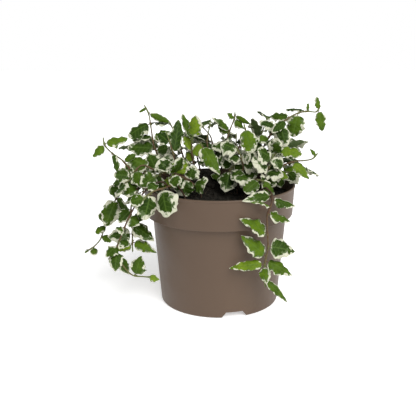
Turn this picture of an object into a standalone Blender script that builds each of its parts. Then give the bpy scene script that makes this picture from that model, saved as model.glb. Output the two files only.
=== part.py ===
"""Potted creeping fig: a moulded nursery pot, its soil and the leafy stems rooted in it.

Metres, +Z up. The origin is the middle of the pot's base, on the surface that it stands on.
Routes and leaves are listed in millimetres.
"""

import random
from collections import namedtuple
from math import cos, pi, radians, sin, sqrt

import bmesh
import bpy
from mathutils import Quaternion, Vector
from mathutils.bvhtree import BVHTree

MM = 0.001

# Pot
POT_HEIGHT = 95 * MM
RIM_RADIUS = 60 * MM
LIP_HEIGHT = 1.4 * MM
LIP_SETBACK = 0.5 * MM
LIP_EDGE = 0.4 * MM
BAND_HEIGHT = 23.5 * MM
BAND_FOOT_RADIUS = 58.4 * MM
BODY_TOP_RADIUS = 53.4 * MM
BASE_RADIUS = 47.6 * MM
WALL = 1.3 * MM
FOOT_WIDTH = 2.0 * MM
FOOT_EDGE = 1 * MM
FOOT_DRAFT = 0.5 * MM
GUTTER_HEIGHT = 5 * MM
DISC_RADIUS = 30 * MM
GUTTER_SLOPE = 1.5 * MM
POT_SIDES = 36

# Openings in the foot and the raised gutter
NOTCHES = 3
FIRST_NOTCH = radians(-76)
NOTCH_FOOT_WIDTH = 20 * MM
NOTCH_TOP_WIDTH = 14 * MM
NOTCH_HEIGHT = 4.6 * MM
DRAINS = 6
DRAIN_RADIUS = 3 * MM
DRAIN_CIRCLE = 39 * MM

# Soil
SOIL_GAP = 0.5 * MM
SOIL_EDGE_HEIGHT = 86 * MM
SOIL_RINGS = (44, 30, 15)
SOIL_SIDES = 24
MOUND_HEIGHT = 13 * MM
MOUND_PLACE = (-9 * MM, 23 * MM)
MOUND_SPREAD = 12 * MM
LUMP_HEIGHT = 0.7 * MM
LUMP_SPANS = (4.3 * MM, 5.1 * MM, 7 * MM)
HOLE_SIDES = 4
HOLE_RADIUS = 2.02 * MM
HOLE_DEPTH = 10.2 * MM
HOLE_RISE = 7 * MM
ROOT_DEPTH = 9 * MM
ROOT_RISE = 4 * MM
ROOT_UPRIGHT = 1.6

# Stems and leaves
STEM_RADIUS = 0.85 * MM
STEM_TIP_RADIUS = 0.7 * MM
STEM_STEP = 10 * MM
LEAF_THICKNESS = 0.7 * MM
CLEARANCE = 0.35 * MM
STALK_HALF_WIDTH = 0.38 * MM
STALK_SHARE = 0.09
TIP_HALF_WIDTH = 0.35 * MM
SHORT_LEAF_ROWS = (0, 0.16, 0.54, 1)
LEAF_ROWS = (0, 0.13, 0.36, 0.72, 1)
SHORT_LEAF = 14 * MM
BASE_SWELL = 0.42
EDGE_WAVE = 0.16
WAVE_TURN = 9
WAVE_SHIFT = 1.4
FLOOR_GAP = 1 * MM
SEED = 11

# Each leaf's own habit is drawn between these: arch along it, fall of its edges, taper to its
# tip, how much wider one half is than the other, and its turn about its length in degrees
ARCHES = (0.05, 0.2)
EDGE_FALLS = (0.08, 0.46)
BLUNT_TAPERS = (0.48, 0.72)
POINTED_TAPERS = (0.82, 1.05)
LEANS = (-0.14, 0.14)
ROLLS = (-20, 20)
POINTED_STEMS = (
    "stem_right_trail", "stem_right_tips", "stem_rim_leaf", "stem_v_leaf", "stem_long_leaf",
    "stem_top_middle", "stem_low_left", "stem_left_trail",
)

# Routes are read along the line of sight from this eye to the upright plane through the pot's axis
EYE = Vector((0, -486.6, 203.2)) * MM
FACING = Vector((0, -0.72, 0.69))

# Each stem seen in front: its root (x, y) on the soil, then (across, up, depth) along it, then
# its leaves: (across, up) where the stalk leaves the stem, (across, up) of the tip, how far the
# tip comes behind (+) or in front (-) of the stem, the blade's width and its roll in degrees
SEEN_STEMS = {
    "stem_left_arch": (
        (-38, -3),
        ((-50, 99, -6), (-60, 102, -9), (-71, 107, -12), (-77, 113.5, -14), (-84, 118.5, -16),
         (-89.5, 124.5, -18), (-90.5, 129, -19)),
        ((-90, 125.5, -99.5, 115.5, -2, 7.5, 0), (-89.5, 126, -71.5, 130.5, 3, 9.5, 0),
         (-84, 118.5, -81, 103.5, -3, 7.5, 35), (-75, 112, -65.5, 118, 2, 5, 45),
         (-71, 107, -77.5, 85, -8, 12, 0), (-64, 103.5, -66, 88, -9, 9, 10)),
    ),
    "stem_top_left": (
        (-24, 12),
        ((-36, 102, 14), (-46, 113, 17), (-51, 124, 20), (-53, 138, 23), (-54.5, 149, 25),
         (-57, 154.5, 25)),
        ((-54.5, 150, -37.5, 142.5, 0, 6, 45), (-56.5, 153.5, -62, 150.5, 0, 2.6, 0),
         (-54, 141, -71, 131.5, -3, 13, 0), (-52, 131, -68, 128.5, -4, 7, 25),
         (-50.5, 123, -72, 123.5, -6, 15, 0), (-52, 128, -38, 135.5, 3, 9.5, 0),
         (-46, 113, -58, 113, -6, 9.5, 0), (-50, 121, -39.5, 123, -4, 11, 0)),
    ),
    "stem_dark_leaf": (
        (-21, -4),
        ((-28, 99, -5), (-34, 110, -7), (-36.5, 119, -8), (-39, 128, -8), (-41, 134, -7)),
        ((-36, 118, -31.5, 145, 1, 10.5, 0), (-38, 126, -47.5, 134.5, 0, 10, 0),
         (-36, 117, -48, 116, -8, 15, 0), (-33, 108, -43.5, 106, -8, 11, 0),
         (-31, 104, -23.5, 111.5, -3, 10, 20)),
    ),
    "stem_lime_leaf": (
        (-15, 8),
        ((-19, 106, 8), (-21.5, 118, 6), (-21.5, 128, 3), (-21, 130.5, 2)),
        ((-21, 130, -18, 148.5, 0, 12, 0), (-21.5, 129, -28.5, 149.5, 5, 6.5, 0),
         (-21.5, 119, -27.5, 132, 0, 7.5, 25), (-20, 112, -26, 120, -3, 7, 0),
         (-20.5, 116, -14, 126, 6, 9, 0)),
    ),
    "stem_long_leaf": (
        (4, 14),
        ((2, 101, 8), (-4, 110, 2), (-10, 119, -4), (-14.5, 126, -8)),
        ((-13.5, 124.5, 0.5, 101, -14, 12, 0), (-14.5, 126, -19.5, 131, -2, 9, 0),
         (-7, 114.5, -17, 111, 8, 11, 0), (2, 102, -7, 101, 3, 9, 0)),
    ),
    "stem_top_middle": (
        (10, 20),
        ((7, 106, 24), (4, 118, 28), (6, 130, 31), (9, 139, 33), (11.5, 145, 34), (12, 149, 34)),
        ((11.5, 146, 5.5, 150, -2, 6, 0), (11.5, 144.5, 19, 138, -4, 8, 0),
         (12, 148.5, 25, 141, 0, 4.5, 45), (7, 134, -1.5, 141, 3, 9, 0), (5, 126, -6, 122, -8, 12.5, 0),
         (4, 120, 14.5, 121, -8, 11.5, 0), (6, 130, 10, 130.5, -10, 7, 0),
         (8, 136, -9, 139, 6, 8, 0),
         (5.5, 112.5, -5, 112, -4, 10.5, 0)),
    ),
    "stem_right_middle": (
        (19, 6),
        ((19, 103, 3), (20.5, 117, -1), (21.5, 130, -4), (19.5, 140, -6)),
        ((19.5, 139.5, 25.5, 118.5, -9, 13, 0), (21, 124, 26.5, 112.5, -7, 11, 0),
         (20, 114, 4, 114.5, -9, 11, 0), (19.5, 108, 8.5, 105, -12, 11.5, 0),
         (21, 132, 31.5, 129, 2, 11.5, 0),
         (19, 104, 30, 102, -11, 12.5, 0)),
    ),
    "stem_top_right": (
        (25, 12),
        ((29, 108, 13), (34, 122, 16), (39.5, 132.5, 18), (46, 139.5, 20), (54, 146.5, 22),
         (61, 150, 24), (68, 151.3, 25), (74.5, 150.8, 25), (76.7, 153, 25)),
        ((76.7, 153, 74.5, 162.5, 0, 5.5, 0), (76.2, 152, 82.5, 136, -3, 9, 0),
         (61, 150, 57, 131.5, -6, 15, 0), (66.5, 151.2, 51, 152.5, 4, 5.5, 40),
         (68, 151.3, 68.3, 157.5, 0, 2.6, 0), (54, 146.5, 39, 147.5, 3, 9.5, 0),
         (44, 138, 31, 143.5, 2, 10.5, 0), (47, 140.5, 52.5, 123.5, -7, 13.5, 0),
         (40, 133, 48.5, 142, 5, 6.5, 0), (36, 126, 42, 129.5, -5, 9, 0), (34, 121, 26, 127, 0, 9, 0),
         (32, 115, 41, 117.5, -6, 10, 0),
         (44, 138, 52.5, 134, -5, 9.5, 0), (51, 143.5, 41, 134.5, -7, 8, 0),
         (47, 140, 43, 122, -10, 10.5, 0), (38, 131, 30.5, 125, -6, 8, 0)),
    ),
    "stem_right_tips": (
        (36, -2),
        ((42, 101, -7), (50, 108.5, -12), (59, 112, -16), (67, 112.8, -19), (73, 114, -21),
         (76, 117, -21)),
        ((75.5, 116.5, 71, 122, 0, 3.2, 0),
         (57, 111.5, 71.5, 97.5, -5, 8, 0), (58, 112, 70.5, 116, -3, 10, 0),
         (51, 109, 40, 112.5, 0, 10.5, 0), (47, 106, 34, 105, -7, 10.5, 0), (44, 103, 55, 98.5, -6, 8, 0)),
    ),
    "stem_right_bright": (
        (29, -2),
        ((33, 103, -2), (39, 112, -2), (44, 118, -3), (46.5, 121.5, -3)),
        ((46, 121, 65, 117.5, -2, 11, 0), (42, 116, 44.5, 130.5, 4, 11, 0), (36, 108, 26.5, 113, -6, 11, 0),
         (40, 113, 50, 112, -6, 10, 0),
         (44.5, 118.5, 54, 127, 3, 10.5, 0)),
    ),
    "stem_rim_leaf": (
        (42, 8),
        ((47, 99.5, 6), (51, 103, 4), (54, 103.5, 2)),
        ((53.5, 103.5, 63, 89, -8, 13, 0), (49, 101.5, 38, 97.5, -10, 11, 0),
         (52, 103.2, 60.5, 108, 8, 11.5, 0), (47, 99.5, 49, 90.5, -12, 9, 20)),
    ),
    "stem_right_trail": (
        (27, -22),
        ((36, 90.5, -34), (40, 88, -42), (41.8, 85.4, -48), (42.2, 80, -52.5), (41, 75, -54.5),
         (38.7, 68, -55), (38.7, 60, -55), (39.3, 50, -55), (39.8, 40, -55), (37.8, 29, -55),
         (37.2, 20, -55), (37.2, 12, -54.5), (38, 8, -54)),
        ((41.8, 84.5, 18, 79.5, -8, 8.5, 0), (42.2, 81, 61.5, 75.5, 5, 7.5, 0),
         (41, 75, 24, 79, -5, 6, 25), (38.7, 69, 57.5, 62.5, 3, 9.5, 0),
         (39.3, 51, 16, 65, -3, 13.5, 0), (39.8, 42.5, 62, 37, 3, 15, 0),
         (38.4, 32, 17.5, 51, -4, 13, 0), (37.8, 28.5, 60.5, 16, 0, 10.5, 0),
         (37.6, 26, 8, 22.5, -1, 8, 0), (37.3, 24, 33, 10, -11, 8.5, 0),
         (37.2, 13, 57, -8, 0, 6, 0)),
    ),
    "stem_front_right": (
        (20, -16),
        ((23, 95, -20), (29, 97.5, -25), (35, 96, -30)),
        ((26, 96.5, 11.5, 99, -4, 11.5, 0), (31, 97.5, 20, 87, -9, 11, 0), (35, 96, 44, 85, -6, 10, 0),
         (33, 97, 45, 99, 4, 10.5, 0)),
    ),
    "stem_v_leaf": (
        (7, 2),
        ((8, 99, 0), (8.5, 105, -2), (12, 109, -2)),
        ((8.5, 105, 4.5, 87, -12, 16, 0), (11, 108, 21.5, 106.5, -7, 11, 0),
         (8.3, 102.5, -2, 111, 9, 9, 0),
         (9.5, 107, 3, 117, 2, 12, 0)),
    ),
    "stem_front_left": (
        (-26, -22),
        ((-35, 93.5, -31), (-44, 90.5, -42), (-51, 88.5, -46), (-57, 85, -49), (-61, 80.5, -51)),
        ((-44.5, 90, -41.5, 66.5, -12, 16.5, 0), (-55, 86.5, -61, 64, -7, 17, -20),
         (-49, 89.5, -57, 95, 3, 9.5, 0), (-60, 82, -72, 79, 0, 9.5, 0),
         (-39, 92.5, -31, 100, 3, 10.5, 0)),
    ),
    "stem_left_bright": (
        (-14, -16),
        ((-23, 96, -19), (-31, 100.5, -22), (-38, 103, -25), (-45, 103, -28), (-50, 100, -31)),
        ((-32, 101, -44.5, 90.5, -5, 15, 0), (-27, 98.5, -28, 83.5, -6, 16, 0),
         (-24, 96.5, -19.5, 109, 2, 12.5, 0), (-34, 101.5, -28.5, 114.5, 3, 13, 0),
         (-40, 103, -47.5, 113.5, 2, 13, 0), (-43, 103, -59, 100, -2, 13, 0),
         (-47, 102, -51.5, 87, -5, 13.5, 0), (-50, 100, -63, 92.5, -3, 13, 0),
         (-36, 102.5, -37, 127, 7, 14.5, 0), (-29, 99.5, -37.5, 85, -10, 14.5, 0),
         (-20, 94, -12.5, 86.5, -8, 14.5, 0)),
    ),
    "stem_left_low": (
        (-30, -10),
        ((-42, 100, -12), (-53, 106, -14), (-61, 109, -15), (-68, 103, -17), (-74, 95, -19)),
        ((-44, 101, -38.5, 118.5, 2, 13, 0), (-49, 104, -55.5, 118.5, 3, 14.5, 0),
         (-55, 107, -71, 114.5, 2, 14.5, 0), (-66, 105, -61.5, 91, -5, 13, 0),
         (-70, 100, -84, 101, 2, 13, 0), (-74, 95, -69.5, 79, -4, 13, 0),
         (-70, 100, -79, 86, -9, 11, 0)),
    ),
    "stem_middle_cluster": (
        (14, -4),
        ((17, 98, -6), (19, 107, -8), (17, 116, -9), (14, 122, -8)),
        ((17.5, 100, 28, 91.5, -6, 14, 0), (18.5, 105, 9.5, 97, -6, 12.5, 0),
         (19, 110, 31.5, 109.5, -4, 14.5, 0), (17.5, 115, 27.5, 123, 1, 13, 0),
         (15, 120, 1, 126.5, 0, 15, 0),
         (18.5, 103, 30.5, 101, -10, 14, 0),
         (17.5, 113.5, 5, 117, -3, 11.5, 0)),
    ),
    "stem_right_cluster": (
        (26, -8),
        ((32, 97, -10), (37, 104, -12), (41, 110, -13), (42, 116, -12)),
        ((34, 99.5, 21, 101, -5, 14, 0), (37, 104, 50.5, 99.5, -5, 14, 0),
         (39, 107, 26, 111, -4, 15, 0),
         (42, 114, 30, 121.5, 0, 15, 0),
         (35, 101, 42.5, 89.5, -5, 10, 0)),
    ),
    "stem_left_trail": (
        (-38, -14),
        ((-50, 96, -17), (-57, 95.5, -20), (-63, 92.5, -23), (-68.5, 84, -26), (-71, 74, -28),
         (-71, 64, -29), (-70.5, 54, -29), (-71, 44, -29), (-71, 39, -29)),
        ((-70.7, 60, -53, 46, -3, 13, 0), (-70.6, 53, -91, 50, -4, 14, 0),
         (-71, 45.5, -51, 36, -3, 9, 0), (-71, 43, -85, 38.5, -4, 9, 0),
         (-71, 72, -81.5, 61.5, -4, 10.5, 0), (-66, 88, -74, 79.5, -8, 10, 0),
         (-57, 95.5, -60, 104, 3, 8, 0), (-54, 96, -56, 85.5, -10, 9, 10),
         (-68.5, 83, -60.5, 78, -4, 10.5, 0), (-71, 66, -61.5, 64, -3, 9, 0)),
    ),
    "stem_far_left": (
        (-42, 12),
        ((-56, 101, 10), (-66, 100.5, 8), (-75, 94, 6), (-81, 85, 5), (-86, 75, 4), (-91, 64, 3),
         (-94, 55, 2), (-97, 47.5, 1), (-103, 41, 0), (-108, 38, 0)),
        ((-83, 81, -92.5, 58.5, -7, 15, 0), (-81, 85.5, -79.5, 62.5, -6, 9.5, 20),
         (-92.5, 59, -100, 52.5, -3, 7, 0),
         (-96, 49.5, -87.5, 46.5, -4, 6, 0), (-104, 40, -101.5, 34, -2, 6.5, 0),
         (-75, 94, -84.5, 94, 3, 9.5, 0), (-66, 100.5, -73.5, 110.5, 4, 10, 0),
         (-60, 101.5, -66.5, 89.5, -7, 12, 0), (-56, 101, -48.5, 113.5, 4, 12, 0),
         (-73, 96, -66.5, 84.5, -5, 12, 0), (-78.5, 89, -88.5, 88, 2, 11, 0),
         (-87, 73, -80.5, 64.5, -4, 9.5, 0), (-89, 68, -97.5, 66, 2, 9.5, 0),
         (-107, 38, -110, 36, 0, 2.6, 0)),
    ),
    "stem_low_left": (
        (-32, -26),
        ((-45, 95.5, -32), (-54, 93, -37), (-61, 86, -40.5), (-67.5, 76, -43), (-74, 64, -43),
         (-80, 50, -42), (-84, 40, -41), (-84, 33, -40), (-80, 26, -40), (-72.5, 17, -40),
         (-63, 15.3, -40), (-57, 15, -40)),
        ((-84, 38, -86, 19.5, -4, 11, 0), (-83.5, 32, -74.5, 17, -5, 9.5, 15),
         (-69.5, 16.5, -64, 33.5, -3, 12.5, 0), (-58, 15, -49.5, 12.5, 0, 6, 0),
         (-84, 41, -93.5, 32.5, 0, 9.5, 0), (-77, 57, -84.5, 56, -4, 9.5, 0),
         (-64, 81, -56.5, 72.5, -5, 11, 0), (-73, 66, -64.5, 59.5, -3, 11, 0),
         (-81, 47, -73.5, 42, -4, 9.5, 0)),
    ),
}

# Each stem further in or behind: its root (x, y) on the soil, then (x, y, z) along it
INNER_STEMS = {
    "stem_inner_1": ((-46, -9), ((-54, -14, 100), (-63, -20, 104), (-71, -24, 100))),
    "stem_inner_3": ((-34, 24), ((-44, 28, 110), (-56, 34, 120), (-68, 38, 118))),
    "stem_inner_5": ((34, 22), ((42, 26, 108), (52, 32, 118), (62, 36, 118))),
    "stem_inner_6": ((28, 26), ((32, 32, 114), (36, 38, 130), (40, 42, 140))),
    "stem_inner_7": ((-2, 32), ((-4, 38, 112), (-8, 46, 126), (-14, 52, 132))),
    "stem_inner_8": ((14, 34), ((16, 44, 110), (18, 58, 116), (20, 70, 106), (21, 76, 90))),
    "stem_inner_9": ((-16, 34), ((-20, 46, 110), (-26, 60, 112), (-30, 70, 98), (-32, 74, 80),
                                (-33, 75, 62))),
    "stem_inner_10": ((-26, 20), ((-30, 24, 112), (-34, 26, 126), (-40, 26, 138))),
    "stem_inner_11": ((40, 18), ((50, 24, 103), (59, 29, 105), (65, 33, 101))),
    "stem_inner_12": ((26, 36), ((34, 46, 108), (44, 58, 108), (50, 66, 94), (52, 68, 78))),
    "stem_inner_13": ((2, 42), ((2, 52, 106), (2, 64, 110), (3, 74, 102))),
    "stem_inner_14": ((-38, 34), ((-48, 42, 106), (-60, 50, 104), (-66, 56, 90), (-68, 58, 74))),
    "stem_inner_15": ((14, 26), ((14, 28, 112), (14, 30, 120), (14, 31, 128))),
    "stem_inner_17": ((-8, 22), ((-8, 22, 110), (-10, 24, 124), (-8, 26, 136))),
}
INNER_FIRST_LEAF = 14 * MM
INNER_LEAF_STEP = 10.5 * MM
INNER_LEAF_LENGTHS = (18 * MM, 25 * MM)
INNER_LEAF_WIDTH_SHARE = (0.5, 0.66)
INNER_LEAF_DROOPS = (-0.5, 0.25)
INNER_LEAF_TILT = 0.7
INNER_SIDE_TILT = 0.4
INNER_LEAF_AHEAD = 0.55
INNER_LEAF_OUTWARD = 0.25
INNER_TIP_LENGTH_SHARE = 0.8
INNER_TIP_WIDTH_SHARE = 0.45
UP = Vector((0, 0, 1))

# Colours read from the photo
POT_COLOUR = (0.155, 0.107, 0.08)
SOIL_COLOUR = (0.012, 0.010, 0.009)
LEAF_COLOUR = (0.075, 0.16, 0.035)


def clear_scene():
    for thing in list(bpy.data.objects):
        bpy.data.objects.remove(thing, do_unlink=True)
    for group in list(bpy.data.collections):
        bpy.data.collections.remove(group)


def collection(name, hidden=False):
    group = bpy.data.collections.new(name)
    bpy.context.scene.collection.children.link(group)
    group.hide_render = hidden
    return group


def material(name, colour, roughness):
    made = bpy.data.materials.new(name)
    made.use_nodes = True
    shader = made.node_tree.nodes["Principled BSDF"]
    shader.inputs["Base Color"].default_value = (*colour, 1)
    shader.inputs["Roughness"].default_value = roughness
    shader.inputs["Metallic"].default_value = 0
    return made


def object_from(name, group, mesh):
    made = bpy.data.objects.new(name, mesh)
    group.objects.link(made)
    return made


def finished(source, name, group, made_of):
    """The evaluated mesh of an object as a new object of its own, in place of the first."""
    bpy.context.view_layer.update()
    graph = bpy.context.evaluated_depsgraph_get()
    mesh = bpy.data.meshes.new_from_object(source.evaluated_get(graph))
    place = source.matrix_world.copy()
    bpy.data.objects.remove(source, do_unlink=True)
    made = object_from(name, group, mesh)
    made.matrix_world = place
    mesh.materials.clear()
    mesh.materials.append(made_of)
    return made


def turned(name, group, profile, sides):
    """A closed turned solid: the profile runs up its inner side and down its outer side."""
    mesh = bpy.data.meshes.new(name)
    edges = [(i, i + 1) for i in range(len(profile) - 1)]
    mesh.from_pydata([(r, 0, z) for r, z in profile], edges, [])
    made = object_from(name, group, mesh)
    screw = made.modifiers.new("turn", "SCREW")
    screw.steps = screw.render_steps = sides
    screw.use_merge_vertices = True
    screw.merge_threshold = 0.00001
    screw.use_smooth_shade = True
    return made


def cut(target, name, group, operation="DIFFERENCE"):
    modifier = target.modifiers.new(name, "BOOLEAN")
    modifier.operation = operation
    modifier.operand_type = "COLLECTION"
    modifier.collection = group
    modifier.solver = "EXACT"
    return modifier


def empty_collection(group):
    for thing in list(group.objects):
        bpy.data.objects.remove(thing, do_unlink=True)
    bpy.data.collections.remove(group)


def body_radius(height):
    """Outer radius of the tapered body under the band."""
    share = height / (POT_HEIGHT - BAND_HEIGHT)
    return BASE_RADIUS + (BODY_TOP_RADIUS - BASE_RADIUS) * share


def pot_profile():
    shelf = POT_HEIGHT - BAND_HEIGHT
    lip_foot = POT_HEIGHT - LIP_HEIGHT
    floor = GUTTER_HEIGHT + WALL
    inner_foot = BASE_RADIUS - FOOT_WIDTH
    return (
        (0, WALL),
        (DISC_RADIUS - WALL, WALL),
        (DISC_RADIUS - WALL + GUTTER_SLOPE, floor),
        (body_radius(floor) - WALL, floor),
        (body_radius(shelf) - WALL, shelf + WALL),
        (BAND_FOOT_RADIUS - WALL, shelf + WALL),
        (RIM_RADIUS - WALL, POT_HEIGHT),
        (RIM_RADIUS - LIP_EDGE, POT_HEIGHT),
        (RIM_RADIUS, POT_HEIGHT - LIP_EDGE),
        (RIM_RADIUS, lip_foot),
        (RIM_RADIUS - LIP_SETBACK, lip_foot - LIP_SETBACK),
        (BAND_FOOT_RADIUS, shelf),
        (body_radius(shelf), shelf),
        (BASE_RADIUS, FOOT_EDGE),
        (BASE_RADIUS - FOOT_EDGE, 0),
        (inner_foot - FOOT_DRAFT, 0),
        (inner_foot - 2 * FOOT_DRAFT, GUTTER_HEIGHT),
        (DISC_RADIUS + GUTTER_SLOPE, GUTTER_HEIGHT),
        (DISC_RADIUS, 0),
        (0, 0),
    )


def notch_cutter(group, angle):
    """A block that is wider at the floor than at its top, across the foot ring."""
    bpy.ops.mesh.primitive_cube_add(size=1)
    block = bpy.context.object
    depth = 3 * FOOT_WIDTH + 2 * MM
    for vertex in block.data.vertices:
        top = vertex.co.z > 0
        width = NOTCH_TOP_WIDTH if top else NOTCH_FOOT_WIDTH
        vertex.co = (vertex.co.x * depth, vertex.co.y * width, NOTCH_HEIGHT if top else -1 * MM)
    block.location = (BASE_RADIUS * cos(angle), BASE_RADIUS * sin(angle), 0)
    block.rotation_euler.z = angle
    move_to(block, group)


def drain_cutter(group, angle):
    bpy.ops.mesh.primitive_cylinder_add(vertices=8, radius=DRAIN_RADIUS, depth=4 * WALL)
    bore = bpy.context.object
    bore.location = (DRAIN_CIRCLE * cos(angle), DRAIN_CIRCLE * sin(angle), GUTTER_HEIGHT + WALL / 2)
    move_to(bore, group)


def move_to(thing, group):
    for old in list(thing.users_collection):
        old.objects.unlink(thing)
    group.objects.link(thing)


def make_pot(group, made_of):
    cutters = collection("pot_cutters", hidden=True)
    for i in range(NOTCHES):
        angle = FIRST_NOTCH + i * 2 * pi / NOTCHES
        notch_cutter(cutters, angle)
    for i in range(DRAINS):
        drain_cutter(cutters, FIRST_NOTCH + (i + 0.5) * 2 * pi / DRAINS)
    rough = turned("pot_turned", group, pot_profile(), POT_SIDES)
    cut(rough, "openings", cutters)
    pot = finished(rough, "pot", group, made_of)
    empty_collection(cutters)
    pot.data.set_sharp_from_angle(angle=radians(30))
    return pot


def soil_height(x, y):
    """Height of the soil's surface: nearly level, with small lumps and one mound behind."""
    away = (x - MOUND_PLACE[0]) ** 2 + (y - MOUND_PLACE[1]) ** 2
    mound = MOUND_HEIGHT * 2.718 ** (-away / (2 * MOUND_SPREAD ** 2))
    lumps = sin(x / LUMP_SPANS[0]) * cos(y / LUMP_SPANS[1]) + sin((x + y) / LUMP_SPANS[2])
    return SOIL_EDGE_HEIGHT + mound + LUMP_HEIGHT * lumps


def soil_profile():
    shelf = POT_HEIGHT - BAND_HEIGHT + WALL + SOIL_GAP
    floor = GUTTER_HEIGHT + WALL + SOIL_GAP
    neck = body_radius(shelf) - WALL - SOIL_GAP
    bottom = (
        (body_radius(floor) - WALL - SOIL_GAP, floor),
        (DISC_RADIUS - WALL + GUTTER_SLOPE - 2 * SOIL_GAP, floor),
        (DISC_RADIUS - WALL - 2 * SOIL_GAP, WALL + SOIL_GAP),
        (0, WALL + SOIL_GAP),
    )
    edge = BAND_FOOT_RADIUS - WALL - 2 * SOIL_GAP
    top = ((0, SOIL_EDGE_HEIGHT),) + tuple((r * MM, SOIL_EDGE_HEIGHT) for r in reversed(SOIL_RINGS))
    sides = ((edge, SOIL_EDGE_HEIGHT - 1 * MM), (edge - 1 * MM, shelf), (neck, shelf))
    return top + sides + bottom


def make_soil(group, made_of, roots):
    """The soil's surface is a turned top moved to soil_height, with one plain hole a stem."""
    rough = turned("soil_turned", group, soil_profile(), SOIL_SIDES)
    shaped = finished(rough, "soil_shaped", group, made_of)
    for vertex in shaped.data.vertices:
        radius = sqrt(vertex.co.x ** 2 + vertex.co.y ** 2)
        if vertex.co.z > SOIL_EDGE_HEIGHT - 0.5 * MM and radius < (SOIL_RINGS[0] + 1) * MM:
            vertex.co.z = soil_height(vertex.co.x, vertex.co.y)
    cutters = collection("soil_cutters", hidden=True)
    for root, heading in roots:
        hole_cutter(cutters, root, heading)
    cut(shaped, "holes", cutters)
    soil = finished(shaped, "soil", group, made_of)
    empty_collection(cutters)
    soil.data.set_sharp_from_angle(angle=radians(60))
    return soil


def hole_cutter(group, root, heading):
    """A plain bore along the stem's first stretch, a little wider and deeper than the stem."""
    length = HOLE_DEPTH + HOLE_RISE
    bpy.ops.mesh.primitive_cylinder_add(vertices=HOLE_SIDES, radius=HOLE_RADIUS, depth=length)
    bore = bpy.context.object
    bore.rotation_mode = "QUATERNION"
    bore.rotation_quaternion = heading.to_track_quat("Z", "Y")
    bore.location = root + heading * (HOLE_RISE - HOLE_DEPTH) / 2
    move_to(bore, group)


def sight(across, up, depth):
    """The point at this depth that the eye sees at (across, up) on the plane through the axis."""
    on_plane = Vector((across, 0, up)) * MM
    return EYE + (on_plane - EYE) * (depth * MM - EYE.y) / -EYE.y


def smooth_route(points, step):
    """Points every step or so along a smooth curve through the given ones."""
    route = []
    last = len(points) - 1
    for i in range(last):
        before, here = points[max(i - 1, 0)], points[i]
        there, after = points[i + 1], points[min(i + 2, last)]
        pieces = max(1, round((there - here).length / step))
        for k in range(pieces):
            t = k / pieces
            pull_in = (there - before) / 2
            pull_out = (after - here) / 2
            route.append(
                here * (1 + 2 * t) * (1 - t) ** 2
                + there * t * t * (3 - 2 * t)
                + pull_in * t * (1 - t) ** 2
                - pull_out * t * t * (1 - t)
            )
    route.append(points[last].copy())
    return route


def root_points(root, onward):
    """The stem's foot in its hole, the soil's surface there, and the way that both point."""
    x, y = root[0] * MM, root[1] * MM
    ground = Vector((x, y, soil_height(x, y)))
    heading = onward - ground
    heading = (heading.normalized() + Vector((0, 0, ROOT_UPRIGHT))).normalized()
    return ground - heading * ROOT_DEPTH, ground, heading


def stem_tube(name, group, route):
    """A thin tube that tapers to its tip."""
    curve = bpy.data.curves.new(name, "CURVE")
    curve.dimensions = "3D"
    curve.bevel_depth = STEM_RADIUS
    curve.bevel_resolution = 0
    curve.use_fill_caps = True
    spline = curve.splines.new("POLY")
    spline.points.add(len(route) - 1)
    for i, point in enumerate(route):
        spline.points[i].co = (*point, 1)
        share = i / (len(route) - 1)
        spline.points[i].radius = 1 + (STEM_TIP_RADIUS / STEM_RADIUS - 1) * share
    return object_from(name, group, curve)


Habit = namedtuple("Habit", "arch fall taper lean phase")


def drawn_habit(draw, pointed):
    tapers = POINTED_TAPERS if pointed else BLUNT_TAPERS
    return Habit(
        draw.uniform(*ARCHES), draw.uniform(*EDGE_FALLS), draw.uniform(*tapers),
        draw.uniform(*LEANS), draw.uniform(0, 2 * pi),
    )


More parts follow.
